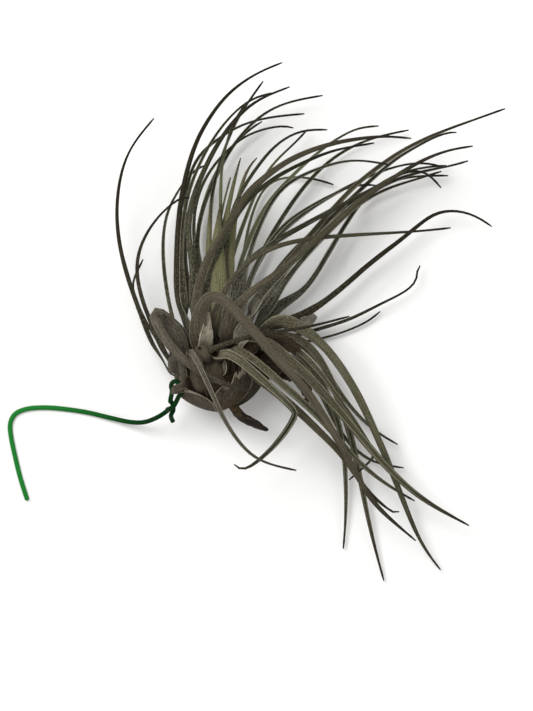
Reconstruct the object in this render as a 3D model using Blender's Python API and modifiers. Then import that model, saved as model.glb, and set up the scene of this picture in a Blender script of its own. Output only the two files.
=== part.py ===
"""Air plant (a tillandsia) lying on its side, with the stiff garden wire it was hung by.

The plant rests on its back on a surface at z = 0.  The rosette opens towards +Y, its leaves
sweep over to +X, and +Z points up, away from the surface.  Lengths below are millimetres.
"""

import math

import bmesh
import bpy
from mathutils import Vector

MM = 0.001
WELD_DISTANCE = 0.01

# Clearance from a leaf's root to the crown, and between a sheath and what it wraps
SEAT_GAP = 0.35

# Crown: the egg-shaped woody core that every leaf grows from
CROWN_CENTRE = Vector((-13.5, -18.5, 16.8))
CROWN_RADII = Vector((17.0, 15.5, 17.4))
GROWTH_AXIS = Vector((-0.08, 1.0, 0.05)).normalized()

# Stump of the old stem, under the crown
STUMP_ROUTE = [(-10, -28, 20), (-8.1, -32.2, 20), (-5.3, -36.2, 19.5), (0.7, -39.8, 18),
    (4.8, -41.8, 17.2), (6.2, -42.4, 17)]
STUMP_RADII = (2.3, 2.0, 1.8, 1.9, 1.5, 0.8)

# Bud that the heart leaves grow from
BUD_CENTRE = (-13.8, 2.2, 20.5)
BUD_RADII = (3.4, 5.0, 3.2)

# Leaf blade: a folded strip with square edges
BLADE_THICKNESS = 0.7
CHANNEL_DEPTH = 0.42        # edge rise over half width
TIP_HALF_WIDTH = 0.38
TAPER_POWER = 0.75
SHEATH_PEAK = 7.0           # distance from the root to the sheath's widest place
SHEATH_SPREAD = 5.0         # distance over which the sheath narrows again
ROOT_RUN = 2.5              # straight run off the crown
STATION_SPACING = 7.5
FEWEST_STATIONS = 9
CURVE_STEPS = 8             # fine steps to a span of a route
STATION_CROWDING = 1.3      # above 1 puts more stations near the root

# Hanger wire
WIRE_DIAMETER = 1.9
NUB_ROOT = Vector((-24.0, -23.5, 18.5))
NUB_TIP = Vector((-32.0, -26.2, 26.0))
NUB_RADII = (3.2, 1.7, 1.7)
LOOP_RADIUS = 3.1
LOOP_SEAT = 0.82            # share of the nub's length where the loop sits
TWIST_TOP = Vector((-32.0, -30.8, 22.0))
TWIST_FOOT = Vector((-33.6, -35.2, 16.5))
TWIST_TURNS = 0.6
STRAND_OFFSET = 1.15
LOOP_OPENING = 42.0         # half angle that the loop leaves open at the twist
WIRE_STEPS = 2
WIRE_TAIL = [(-33.0, -37.4, 14.2), (-32.2, -39.4, 12.5)]
WIRE_ARM = [(-38.5, -37.2, 13.5), (-44, -39.3, 8.5), (-50, -39.4, 4.5), (-58, -37.8, 2.2),
    (-68, -35.5, 1.2), (-78.5, -34, 1), (-86, -33.6, 1), (-92.5, -34.2, 1), (-97, -36.2, 1),
    (-99, -40, 1), (-98.8, -45, 1), (-97.3, -52.5, 1), (-95, -62, 1), (-92, -71.5, 1)]

# Leaves: name, width, sheath flare and route from the neck of the bulb to the tip.
# Each one starts on the crown, straight below the first point of its route.
LEAVES = [
    ("leaf_left_01", 2.6, 0.15, [(-33.5, -20.5, 19), (-35.5, -15, 18.5), (-39, -10.5, 18),
        (-42, -4.5, 18), (-44.5, 2.5, 18), (-52.5, 24, 18), (-55.5, 43.5, 19), (-53, 62.5, 21),
        (-47.5, 73, 23), (-39.5, 82, 26)]),
    ("leaf_left_02", 2.8, 0.15, [(-32.5, -17.5, 25), (-38, -5.5, 26), (-43.5, 7, 27),
        (-47, 20.5, 28), (-45, 31.5, 29), (-39, 41.5, 30), (-32, 48, 31), (-27.5, 50.5, 32),
        (-25, 50, 32)]),
    ("leaf_left_03", 1.6, 0.15, [(-34.5, -12.5, 22), (-41, -2.5, 22), (-46, 7.5, 22),
        (-48.5, 15, 22), (-47.5, 19, 22), (-44, 26, 22)]),
    ("leaf_left_04", 2.6, 0.15, [(-30.5, -4.5, 14), (-33, 4, 13), (-35, 14, 12), (-36.5, 25, 11),
        (-36.5, 36, 11), (-35, 45.5, 11), (-31, 53, 10), (-26.5, 60, 10), (-22, 63.5, 10),
        (-19, 64.5, 10)]),
    ("leaf_left_05", 4.0, 0.5, [(-26.5, -4.5, 20), (-29, 5.5, 22), (-30.5, 19.5, 22),
        (-30.5, 31.5, 22), (-29.5, 47.5, 23), (-26, 64, 24), (-21.5, 76, 25.5), (-15.5, 85, 27),
        (-9, 93, 28.5), (2, 100, 30.5), (11.5, 103.5, 32)]),
    ("leaf_left_06", 2.8, 0.15, [(-26.5, -0.5, 29), (-27.5, 9.5, 27), (-28.5, 21.5, 26),
        (-28.5, 33.5, 26), (-27.5, 45.5, 26), (-25, 55, 26), (-21, 65, 26), (-14.5, 76.5, 26),
        (-6.5, 85.5, 27), (1, 90.5, 28), (9, 92, 28)]),
    ("leaf_left_07", 4.2, 0.5, [(-23, 4, 29), (-23, 15.5, 31), (-24, 24.5, 32), (-26, 35, 31),
        (-25.5, 43, 31), (-23.5, 51.5, 31), (-20, 60, 31), (-15.5, 69, 31), (-10, 78, 31),
        (-2.5, 86, 31), (5, 90.5, 31), (14.5, 94, 31)]),
    ("leaf_left_08", 2.6, 0.15, [(-24.5, 3.5, 18), (-26.5, 14, 17), (-27.5, 28, 17),
        (-27.5, 40, 17), (-27.5, 50, 17), (-25.5, 61, 17), (-21.5, 68.5, 17), (-15.5, 73.5, 17),
        (-7.5, 79, 17), (3.5, 83, 18), (20.5, 84.5, 18)]),
    ("leaf_left_09", 3.0, 0.15, [(-16.5, 2, 9), (-19.5, 14, 8), (-22.5, 25.5, 8), (-23, 35.5, 8),
        (-20.5, 48, 8), (-16.5, 57, 8), (-11, 68.5, 9), (-4, 78, 9), (3.5, 85, 10), (13, 90, 10),
        (28, 92.5, 11)]),
    ("leaf_left_10", 2.4, 0.15, [(-15, 2.5, 5), (-19, 16, 4), (-22.5, 28.5, 4), (-23, 39, 4),
        (-19.5, 52, 4), (-15, 63.5, 4), (-8, 73, 4), (-1.5, 79.5, 5), (3.5, 82.5, 5)]),
    ("leaf_left_11", 2.4, 0.15, [(-20, 2.5, 26), (-21, 13.5, 24), (-22.5, 25, 23), (-24, 35.5, 22),
        (-23.5, 47.5, 22), (-19.5, 58.5, 22), (-13, 67, 22), (-5, 74.5, 22), (3.5, 78, 22),
        (12, 79.5, 22), (16, 78.5, 22)]),
    ("leaf_left_12", 2.8, 0.15, [(-16, 3.5, 12.5), (-17.5, 16, 14.5), (-17.5, 30, 16),
        (-17.5, 44, 15), (-16, 57, 15), (-12.5, 68, 14), (-8, 80, 14), (-2.5, 89, 14),
        (4, 98, 14)]),
    ("leaf_left_13", 2.6, 0.15, [(-12.5, 3.5, 26.5), (-12.5, 15.5, 26.5), (-12.5, 29.5, 26.5),
        (-13, 41.5, 26), (-13, 53.5, 25.5), (-12.5, 64, 25), (-10, 75.5, 24), (-6.5, 83, 23.5),
        (-3, 88, 23)]),
    ("leaf_middle_01", 4.4, 0.5, [(-22.5, 2, 37), (-22, 12.5, 38), (-19, 24.5, 38),
        (-14.5, 31.5, 38), (-6, 45, 38), (-2.5, 52, 38), (8, 60.5, 36.5), (14.5, 65, 36),
        (29.5, 71.5, 35), (44.5, 73.5, 34), (52, 74.5, 33), (62.5, 73.5, 32)]),
    ("leaf_middle_02", 3.4, 0.15, [(-19.5, 2.5, 34), (-18.5, 12.5, 33), (-15.5, 25, 33),
        (-9.5, 38, 33), (-3, 49, 32.5), (7, 57, 31.5), (14.5, 61.5, 31), (28.5, 68, 30),
        (36.5, 70, 29.5), (48, 72, 28)]),
    ("leaf_middle_03", 2.8, 0.15, [(-10.5, 4, 12.5), (-11, 14, 13), (-9.5, 24, 12), (-6, 35, 11),
        (-2, 46, 10), (3, 58, 10), (9, 66.5, 9), (16, 72.5, 9), (21.5, 78.5, 9)]),
    ("leaf_middle_04", 2.8, 0.15, [(-11, 2.5, 30), (-11.5, 13.5, 30), (-11.5, 27.5, 30),
        (-9.5, 42, 30), (-5, 52.5, 29.5), (1, 61.5, 29), (7, 69.5, 28), (13.5, 74.5, 27),
        (20.5, 77.5, 26), (29.5, 77.5, 25)]),
    ("leaf_middle_05", 3.0, 0.15, [(-5.5, 2.5, 17.5), (-8, 13.5, 19), (-5, 25, 18), (-0.5, 37, 17),
        (5, 48, 16), (12.5, 56.5, 15), (21, 65, 14), (30, 72.5, 13), (39, 78, 13),
        (44.5, 79.5, 13), (50.5, 80, 13)]),
    ("leaf_middle_06", 3.0, 0.15, [(-6, 2.5, 12), (-3, 13, 10), (1.5, 25, 8), (7, 36, 7),
        (14, 47, 6), (21.5, 57.5, 5), (30.5, 66.5, 5), (40, 72.5, 5), (50.5, 76.5, 5),
        (63, 79, 5)]),
    ("leaf_middle_07", 3.0, 0.15, [(-5.5, 3.5, 26.5), (-5, 13.5, 27), (-2, 26.5, 26), (2, 38, 25),
        (7, 48.5, 24), (13, 56, 24), (22, 60.5, 25), (32, 64, 27), (41.5, 65.5, 29),
        (53.5, 63, 33)]),
    ("leaf_middle_08", 2.0, 0.15, [(-8, 5, 6), (-6, 16, 5), (-4, 28.5, 4), (-2, 40.5, 3),
        (2, 52.5, 3), (7.5, 59, 3), (17, 60.5, 3), (26.5, 59, 3), (32.5, 57, 3)]),
    ("leaf_right_01", 3.8, 0.3, [(-0.5, 1.5, 27.5), (3.5, 11.5, 30), (10, 20.5, 29),
        (18.5, 30.5, 28), (28.5, 42, 27), (38.5, 53.5, 26), (46.5, 60, 26), (54.5, 66, 26),
        (62.5, 71, 26), (74.5, 76.5, 27), (86, 80.5, 28), (100, 85.5, 29)]),
    ("leaf_right_02", 3.4, 0.3, [(-0.5, 2.5, 22.5), (5.5, 11, 23), (13, 21.5, 22), (22, 33, 21),
        (32, 43.5, 20), (42, 53, 19), (54, 64, 19), (59, 67.5, 18.5), (71, 74.5, 18), (78, 77, 18),
        (81.5, 77, 18)]),
    ("leaf_right_03", 4.6, 1.2, [(-8, -2.5, 39), (-7.5, 8, 41), (5, 16.5, 42), (13, 22.5, 41),
        (21.5, 30, 41), (31.5, 39, 39), (42, 48.5, 37), (54, 57, 35), (66, 64.5, 33), (77, 69, 32),
        (87, 70.5, 31)]),
    ("leaf_right_04", 3.6, 0.4, [(-1, 1, 34), (0.5, 9.5, 36), (7, 15.5, 35), (15.5, 24.5, 34),
        (24.5, 33, 33), (34.5, 43, 31), (45.5, 52, 29), (58.5, 58.5, 27), (70.5, 61.5, 26),
        (79, 63, 26), (85.5, 65, 26)]),
    ("leaf_right_05", 2.6, 0.15, [(-7, 3, 23), (-2.5, 15.5, 21), (3.5, 27.5, 20), (11, 37, 19),
        (21, 45, 18), (31, 51.5, 17), (41, 57, 16), (51, 61.5, 16), (61, 64.5, 16), (69, 65, 16),
        (75.5, 63.5, 16)]),
    ("leaf_right_06", 3.2, 0.15, [(3, 1, 17), (7.5, 10, 15), (14, 19, 14), (22, 29, 12),
        (32, 39, 11), (42.5, 49, 10), (53.5, 55, 9), (63.5, 58, 9), (76, 62, 9)]),
    ("leaf_right_07", 2.8, 0.15, [(-1.5, 2, 12), (3.5, 13, 10), (11.5, 25, 8), (22, 36, 7),
        (34.5, 45.5, 6), (46.5, 54, 5), (57.5, 59, 5), (67.5, 60.5, 5), (79, 60.5, 5)]),
    ("leaf_right_08", 3.4, 0.15, [(-10, 4.5, 34), (-6, 20.5, 36), (-0.5, 26, 36), (6, 31, 35),
        (14.5, 36, 34), (25.5, 42, 33), (37.5, 48.5, 32), (48.5, 54, 31), (57.5, 59.5, 30),
        (64, 61, 30), (69.5, 60, 30), (74.5, 54, 30)]),
    ("leaf_right_09", 2.8, 0.15, [(-4, 4, 31.5), (-2.5, 15.5, 29.5), (3, 27.5, 28), (9, 36, 27),
        (15.5, 42.5, 25), (24.5, 48, 23.5), (34.5, 53.5, 22.5), (42.5, 56, 22), (49, 55.5, 22)]),
    ("leaf_right_10", 3.0, 0.15, [(-17, 1, 40.5), (-9.5, 18, 43), (2, 27.5, 41), (10.5, 31, 39),
        (20.5, 33.5, 37.5), (36.5, 35, 36), (56, 36, 35), (70, 37, 35), (78, 38, 35)]),
    ("leaf_right_11", 3.2, 0.15, [(4.5, -1, 11.5), (7.5, 5.5, 10), (14.5, 10, 9), (20.5, 13.5, 8),
        (26, 21.5, 8), (32.5, 32.5, 8), (39, 43.5, 7), (45, 51.5, 7), (53.5, 59, 7),
        (65.5, 63.5, 7), (78, 64.5, 7)]),
    ("leaf_right_12", 3.4, 0.15, [(8, -1.5, 17), (15, 1.5, 15), (24.5, 6, 14), (35, 14, 13),
        (46, 24, 12), (56, 31.5, 12), (63, 37, 12), (69.5, 42.5, 12), (75, 45.5, 13), (82, 46, 13),
        (89.5, 44, 13), (96, 39.5, 13)]),
    ("leaf_right_13", 2.2, 0.15, [(10, -6, 7.5), (33.5, 0, 7), (42, 3.5, 7), (51.5, 8.5, 7),
        (59, 12, 7), (64.5, 15.5, 7), (66.5, 19.5, 7), (66, 21.5, 7), (67.5, 24, 7)]),
    ("leaf_right_14", 2.0, 0.15, [(-20, -14.5, 40), (-20, -12, 43.5), (-16, -10, 46),
        (-11, -8, 47), (-3, -5.5, 47), (6.5, -3.5, 45), (18.5, -2, 41), (28.5, 0.5, 38),
        (38, 3, 36)]),
    ("leaf_right_15", 1.6, 0.15, [(8, -9, 3), (28.5, -6, 3), (43, -0.5, 3), (48, 2.5, 3),
        (51.5, 5.5, 3)]),
    ("leaf_drooping_01", 4.2, 0.6, [(2, -4.5, 25), (8.5, 1.5, 30), (15.5, 0, 30), (22.5, -3.5, 29),
        (30.5, -11, 27), (38.5, -22.5, 24), (46, -36.5, 20), (52, -50.5, 16), (58, -64.5, 12),
        (64, -80.5, 8), (70, -92, 5), (76, -99.5, 3)]),
    ("leaf_drooping_02", 3.6, 0.15, [(4, -6.5, 21.5), (11, -3.5, 22), (18, -5.5, 22),
        (25, -11, 20), (30, -20, 17), (34.5, -30.5, 13), (38.5, -42, 10), (41.5, -54, 7),
        (44.5, -69, 5), (48, -86, 4), (53, -104, 2)]),
    ("leaf_drooping_03", 4.6, 0.4, [(-0.5, -6.5, 37), (5, -7, 38), (11.5, -12, 37),
        (19.5, -18.5, 34), (27.5, -27.5, 31), (36, -36.5, 28), (43.5, -46, 25), (52.5, -56.5, 21),
        (63, -66.5, 17), (73, -73.5, 14), (87, -81, 11)]),
    ("leaf_drooping_04", 3.2, 0.15, [(4, -9, 14), (10, -6.5, 15), (17.5, -11, 15), (25, -19, 13),
        (30, -28.5, 11), (34, -38.5, 9), (36.5, -50, 7), (37.5, -63, 5), (37.5, -79.5, 3),
        (36.5, -91, 2)]),
    ("leaf_drooping_05", 3.6, 0.15, [(-9, -10, 43.5), (-8, -9.5, 46), (-2.5, -12, 45),
        (3.5, -16.5, 43), (10.5, -23, 41), (18.5, -30, 37), (27.5, -38, 33), (36.5, -49, 29),
        (44.5, -57.5, 26), (55.5, -65.5, 23), (64.5, -70.5, 21)]),
    ("leaf_drooping_06", 4.0, 0.15, [(-13.5, -13.5, 42), (-14, -13, 46.5), (-10.5, -11, 49),
        (-5, -14.5, 48), (2, -20.5, 46), (14.5, -32.5, 41), (16, -36, 40), (13.5, -41.5, 38),
        (8, -48.5, 35), (1.5, -54.5, 33), (-3, -57.5, 32), (-6, -57, 31), (-7.5, -55.5, 31)]),
    ("leaf_drooping_07", 3.2, 0.15, [(-4.5, -12.5, 38), (-5, -15.5, 41), (2, -21.5, 40),
        (9.5, -27.5, 38), (17.5, -34, 35), (24.5, -41, 32), (32.5, -48.5, 28), (38.5, -56, 25),
        (44, -65.5, 22), (54, -74, 19), (56.5, -75.5, 18), (58.5, -75, 18)]),
    ("leaf_drooping_08", 2.6, 0.15, [(6, -12, 12), (13, -5.5, 11.5), (20, -8.5, 10), (27, -15, 9),
        (32.5, -24, 8), (37.5, -31, 7), (43.5, -38, 6), (50.5, -44, 6), (58.5, -48.5, 5)]),
    ("leaf_drooping_09", 2.4, 0.15, [(4, -14, 5), (13, -10.5, 6), (21, -17.5, 6), (28, -28.5, 5),
        (33, -40.5, 4), (39.5, -49, 4), (46, -54.5, 4), (53.5, -57, 4), (61, -58, 4)]),
    ("leaf_drooping_10", 2.6, 0.15, [(6, -7, 29), (12.5, -7, 28), (20.5, -12, 26),
        (28.5, -21.5, 24), (35, -31, 21), (39.5, -37, 19), (48, -50, 15), (48.5, -53, 14),
        (46.5, -55.5, 14), (38.5, -62.5, 13)]),
    ("leaf_front_arch", 5.6, 0.3, [(-20.5, -8.5, 42), (-22, 0.5, 45), (-19.5, 8, 49),
        (-16, 11, 53), (-12, 9.5, 56), (-5.5, 3.5, 56), (1, -4, 54), (8.5, -13, 51),
        (16.5, -21, 47), (23.5, -29.5, 42), (31.5, -42.5, 36), (38.5, -54.5, 31), (45, -67.5, 27),
        (52, -75.5, 24), (65, -86.5, 20)]),
    ("leaf_folded_01", 5.2, 0.5, [(-28, -10, 31), (-29.5, -5, 38), (-33.5, 1, 40), (-36.5, 4, 42),
        (-38.5, 4, 44), (-38, 1, 46), (-35, -5, 47), (-29.5, -12, 47), (-16.5, -22.5, 47),
        (-0.5, -26.5, 43)]),
    ("leaf_folded_02", 4.6, 0.3, [(-29, -20, 28), (-31.5, -17, 32), (-31.5, -13.5, 36),
        (-29.5, -12.5, 37.5), (-28, -15, 37.5), (-28, -20, 36.5), (-27.5, -26, 33.5)]),
    ("leaf_folded_03", 3.6, 0.5, [(-23, -18.5, 38), (-25.5, -11, 45), (-24, -10.5, 48),
        (-21.5, -15, 50), (-15, -29, 51), (-11.5, -37, 49), (-6.5, -45, 46), (-0.5, -52, 43),
        (7.5, -55.5, 41), (17, -57.5, 40)]),
]

HEART_LEAVES = [
    (3.6, [(-16, 3.5, 22), (-16.5, 13.5, 22), (-17, 25, 22), (-17.5, 35.5, 22), (-17, 47.5, 22)]),
    (3.0, [(-14, 3.5, 20), (-14, 13.5, 20), (-12.5, 35.5, 20), (-7, 59.5, 20), (-5, 66.5, 20)]),
    (3.0, [(-12.5, 3.5, 22), (-12, 13.5, 22), (-9.5, 37.5, 22), (-4, 60.5, 22), (1.5, 66.5, 22)]),
    (1.8, [(-14.5, 3.5, 24), (-14.5, 29.5, 24), (-13, 43.5, 24), (-9, 58.5, 24)]),
]

# Old sheaths: name, azimuth about +Y from +Z towards -X, half spread, polar angle from -Y
# of the lower and upper end (all in degrees), and how far the free end stands off the crown
OLD_SHEATHS = [
    ("old_sheath_bowl", 55, 33, 14, 51, 2.0),
    ("old_sheath_spoon", 39, 17, 56, 80, 1.6),
    ("old_sheath_dome", 1, 17, 38, 97, 2.4),
    ("old_sheath_front", -47, 27, 34, 86, 1.6),
    ("old_sheath_back_left", 120, 28, 30, 115, 1.0),
    ("old_sheath_back_right", -138, 13, 30, 100, 1.0),
]
SHEATH_THICKNESS = 0.8
SHEATH_TIP_WIDTH = 0.25     # width of the blunt free end, as a share of the full width
SHEATH_GRID = 6             # spans across and along a sheath

# Broad dry leaf that curls off the right side of the bulb
DRY_FLAP = (6.5, 0.0, [(5, -22, 15.5), (11, -20.5, 17), (16, -23.5, 16.5), (19.5, -28.5, 15),
    (21.5, -33, 13.5)])


def material(name, colour, roughness):
    finish = bpy.data.materials.new(name)
    finish.use_nodes = True
    shader = finish.node_tree.nodes["Principled BSDF"]
    shader.inputs["Base Color"].default_value = (*colour, 1.0)
    shader.inputs["Roughness"].default_value = roughness
    shader.inputs["Metallic"].default_value = 0.0
    finish.diffuse_color = (*colour, 1.0)
    return finish


def add_object(name, mesh, collection, finish):
    for face in mesh.polygons:
        face.use_smooth = True
    piece = bpy.data.objects.new(name, mesh)
    piece.data.materials.append(finish)
    collection.objects.link(piece)
    return piece


def smooth_route(points, steps):
    """Catmull-Rom curve through the points, with the given steps to each span."""
    points = [Vector(p) for p in points]
    padded = [2 * points[0] - points[1], *points, 2 * points[-1] - points[-2]]
    route = []
    for a, b, c, d in zip(padded, padded[1:], padded[2:], padded[3:]):
        for step in range(steps):
            t = step / steps
            route.append(0.5 * (2 * b + (c - a) * t + (2 * a - 5 * b + 4 * c - d) * t ** 2
                + (3 * b - a - 3 * c + d) * t ** 3))
    route.append(points[-1])
    return route


def spaced(route, shares):
    """Points of a polyline at the given shares of its length, and that length."""
    reach = [0.0]
    for a, b in zip(route, route[1:]):
        reach.append(reach[-1] + (b - a).length)
    found = []
    span = 0
    for share in shares:
        goal = share * reach[-1]
        while span < len(route) - 2 and reach[span + 1] < goal:
            span += 1
        part = (goal - reach[span]) / (reach[span + 1] - reach[span])
        found.append(route[span].lerp(route[span + 1], part))
    return found, reach[-1]


def crown_distance(direction):
    """Distance from the crown's centre to its surface along a unit direction."""
    scaled = [d / r for d, r in zip(direction, CROWN_RADII)]
    return 1.0 / Vector(scaled).length


def leaf_mesh(name, width, flare, route_points):
    """Channelled, tapering leaf lofted along its route, from the crown to a fine tip."""
    outward = (Vector(route_points[0]) - CROWN_CENTRE).normalized()
    seat = crown_distance(outward) + SEAT_GAP
    root = CROWN_CENTRE + outward * seat
    first_run = CROWN_CENTRE + outward * (seat + ROOT_RUN)
    neck_is_near = (Vector(route_points[0]) - first_run).dot(outward) < ROOT_RUN
    start = [root] if neck_is_near else [root, first_run]
    route = smooth_route([*start, *route_points], CURVE_STEPS)
    length = spaced(route, [0.0])[1]
    stations = max(FEWEST_STATIONS, round(length / STATION_SPACING))
    shares = [(i / stations) ** STATION_CROWDING for i in range(stations + 1)]
    centres, length = spaced(route, shares)

    mesh = bmesh.new()
    rings = []
    upper = GROWTH_AXIS - outward
    for i, (share, centre) in enumerate(zip(shares, centres)):
        before = centres[max(i - 1, 0)]
        after = centres[min(i + 1, stations)]
        along = (after - before).normalized()
        upper = (upper - along * upper.dot(along)).normalized()
        across = along.cross(upper)
        from_peak = (share * length - SHEATH_PEAK) / SHEATH_SPREAD
        widening = 1.0 + flare * math.exp(-from_peak ** 2)
        half = max(0.5 * width * (1.0 - share) ** TAPER_POWER * widening, TIP_HALF_WIDTH)
        rise = CHANNEL_DEPTH * half
        lift = 0.5 * BLADE_THICKNESS
        section = [(-half, rise + lift), (-half, rise - lift), (0, -lift),
            (half, rise - lift), (half, rise + lift), (0, lift)]
        rings.append([mesh.verts.new((centre + across * u + upper * v) * MM) for u, v in section])
    for ring, following in zip(rings, rings[1:]):
        for k in range(6):
            a, b = ring[k], ring[(k + 1) % 6]
            c, d = following[(k + 1) % 6], following[k]
            if k in (1, 2):
                mesh.faces.new((a, b, d))
                mesh.faces.new((b, c, d))
            else:
                mesh.faces.new((a, b, c))
                mesh.faces.new((a, c, d))
    for ring in (rings[0], rings[-1]):
        mesh.faces.new((ring[0], ring[1], ring[2], ring[5]))
        mesh.faces.new((ring[5], ring[2], ring[3], ring[4]))
    bmesh.ops.recalc_face_normals(mesh, faces=mesh.faces)
    data = bpy.data.meshes.new(name)
    mesh.to_mesh(data)
    mesh.free()
    return data


def round_mesh(name, centre, radii, segments, rings):
    """Egg shape from a sphere primitive."""
    mesh = bmesh.new()
    bmesh.ops.create_uvsphere(mesh, u_segments=segments, v_segments=rings, radius=MM)
    for vert in mesh.verts:
        vert.co = Vector([c * r for c, r in zip(vert.co, radii)]) + Vector(centre) * MM
        vert.co.z = max(vert.co.z, 0.0)
    data = bpy.data.meshes.new(name)
    mesh.to_mesh(data)
    mesh.free()
    return data


def tube_object(name, route, radius, collection):
    """Capped round tube along a route of straight spans."""
    curve = bpy.data.curves.new(name, "CURVE")
    curve.dimensions = "3D"
    curve.bevel_depth = radius * MM
    curve.bevel_resolution = 2
    curve.use_fill_caps = True
    spline = curve.splines.new("POLY")
    spline.points.add(len(route) - 1)
    for point, place in zip(spline.points, route):
        point.co = (*(place * MM), 1.0)
    tube = bpy.data.objects.new(name, curve)
    collection.objects.link(tube)
    return tube


def rod_mesh(name, route_points, radii, collection):
    """Round, tapering rod along a route, one radius to a point, as a closed mesh."""
    rod = tube_object(name, [Vector(p) for p in route_points], 1.0, collection)
    for point, radius in zip(rod.data.splines[0].points, radii):
        point.radius = radius
    evaluated = rod.evaluated_get(bpy.context.evaluated_depsgraph_get())
    data = bpy.data.meshes.new_from_object(evaluated)
    bpy.data.objects.remove(rod)
    mesh = bmesh.new()
    mesh.from_mesh(data)
    bmesh.ops.remove_doubles(mesh, verts=mesh.verts, dist=WELD_DISTANCE * MM)
    mesh.to_mesh(data)
    mesh.free()
    return data


def union(name, meshes, collection, finish):
    """One solid from several that overlap."""
    bin_collection = bpy.data.collections.new(name + "_parts")
    base = add_object(name, meshes[0], collection, finish)
    for i, mesh in enumerate(meshes[1:]):
        add_object(f"{name}_part_{i}", mesh, bin_collection, finish)
    joiner = base.modifiers.new("Join", "BOOLEAN")
    joiner.operation = "UNION"
    joiner.operand_type = "COLLECTION"
    joiner.collection = bin_collection
    joiner.solver = "MANIFOLD"
    evaluated = base.evaluated_get(bpy.context.evaluated_depsgraph_get())
    joined = bpy.data.meshes.new_from_object(evaluated)
    base.modifiers.clear()
    base.data = joined
    joined.name = name
    for part in list(bin_collection.objects):
        bpy.data.objects.remove(part)
    bpy.data.collections.remove(bin_collection)
    return base


def build_crown(collection, finish):
    """Core with the stump and the nub that carries the wire's loop."""
    core = round_mesh("core", CROWN_CENTRE, CROWN_RADII, 20, 12)
    stump = rod_mesh("stump", STUMP_ROUTE, STUMP_RADII, collection)
    nub = rod_mesh("nub", [NUB_ROOT, NUB_ROOT.lerp(NUB_TIP, 0.7), NUB_TIP], NUB_RADII, collection)
    return union("crown", [core, stump, nub], collection, finish)


def build_heart(collection, finish):
    """Young leaves and their bud as one solid."""
    leaves = [leaf_mesh("heart", width, 0.0, route) for width, route in HEART_LEAVES]
    bud = round_mesh("bud", BUD_CENTRE, BUD_RADII, 12, 8)
    return union("heart_leaves", [*leaves, bud], collection, finish)


def build_sheath(name, azimuth, spread, low, high, lift, collection, finish):
    """Dry scale that hugs the crown, round at its free end, from an open curved surface."""
    mesh = bmesh.new()
    grid = []
    for row in range(SHEATH_GRID + 1):
        along = row / SHEATH_GRID
        polar = math.radians(low + (high - low) * along)
        narrowing = math.sqrt(max(1.0 - along ** 4, SHEATH_TIP_WIDTH ** 2))
        line = []
        for column in range(SHEATH_GRID + 1):
            aside = (2 * column / SHEATH_GRID - 1) * spread * narrowing
            turn = math.radians(azimuth + aside)
            direction = Vector((-math.sin(polar) * math.sin(turn), -math.cos(polar),
                math.sin(polar) * math.cos(turn)))
            surface = Vector([d * r for d, r in zip(direction, CROWN_RADII)])
            outward = Vector([d / r for d, r in zip(direction, CROWN_RADII)]).normalized()
            height = SEAT_GAP + lift * along ** 3
            line.append(mesh.verts.new((CROWN_CENTRE + surface + outward * height) * MM))
        grid.append(line)
    for line, following in zip(grid, grid[1:]):
        for k in range(SHEATH_GRID):
            mesh.faces.new((line[k], line[k + 1], following[k + 1], following[k]))
    bmesh.ops.recalc_face_normals(mesh, faces=mesh.faces)
    data = bpy.data.meshes.new(name)
    mesh.to_mesh(data)
    mesh.free()
    piece = add_object(name, data, collection, finish)
    wall = piece.modifiers.new("Wall", "SOLIDIFY")
    wall.thickness = SHEATH_THICKNESS * MM
    wall.offset = 1.0
    return piece


def wire_route():
    """Tail, twist, loop round the nub, twist again and the long arm with its hook."""
    axis = (TWIST_FOOT - TWIST_TOP).normalized()
    u = axis.cross(Vector((0, 0, 1))).normalized()
    w = axis.cross(u)

    def strand(side):
        points = []
        for i in range(6):
            share = i / 5
            angle = math.tau * TWIST_TURNS * share
            swing = u * math.cos(angle) + w * math.sin(angle)
            points.append(TWIST_TOP.lerp(TWIST_FOOT, share) + swing * side * STRAND_OFFSET)
        return points

    nub_axis = (NUB_TIP - NUB_ROOT).normalized()
    centre = NUB_ROOT.lerp(NUB_TIP, LOOP_SEAT)
    down = TWIST_TOP - centre
    down = (down - nub_axis * down.dot(nub_axis)).normalized()
    aside = nub_axis.cross(down)
    loop = []
    for i in range(9):
        angle = -math.radians(LOOP_OPENING + (360 - 2 * LOOP_OPENING) * i / 8)
        loop.append(centre + (down * math.cos(angle) + aside * math.sin(angle)) * LOOP_RADIUS)
    tail = [Vector(p) for p in reversed(WIRE_TAIL)]
    arm = [Vector(p) for p in WIRE_ARM]
    return [*tail, *reversed(strand(1)), *loop, *strand(-1), *arm]


def build_wire(collection, finish):
    """Stiff wire as one round tube."""
    route = smooth_route(wire_route(), WIRE_STEPS)
    wire = tube_object("hanger_wire", route, 0.5 * WIRE_DIAMETER, collection)
    wire.data.materials.append(finish)
    return wire


def main():
    for leftover in list(bpy.data.objects):
        bpy.data.objects.remove(leftover)
    plant = bpy.data.collections.new("air_plant")
    bpy.context.scene.collection.children.link(plant)

    leaf_green = material("grey_green_leaf", (0.16, 0.15, 0.10), 0.8)
    heart_green = material("light_green_leaf", (0.36, 0.40, 0.17), 0.7)
    dry_brown = material("dry_sheath", (0.16, 0.13, 0.10), 0.85)
    bark_brown = material("woody_crown", (0.06, 0.04, 0.025), 0.85)
    wire_green = material("green_wire", (0.01, 0.16, 0.04), 0.4)

    for name, width, flare, route in LEAVES:
        add_object(name, leaf_mesh(name, width, flare, route), plant, leaf_green)
    build_heart(plant, heart_green)
    build_crown(plant, bark_brown)
    add_object("dry_flap", leaf_mesh("dry_flap", *DRY_FLAP), plant, dry_brown)
    for sheath in OLD_SHEATHS:
        build_sheath(*sheath, plant, dry_brown)
    build_wire(plant, wire_green)


main()
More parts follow.
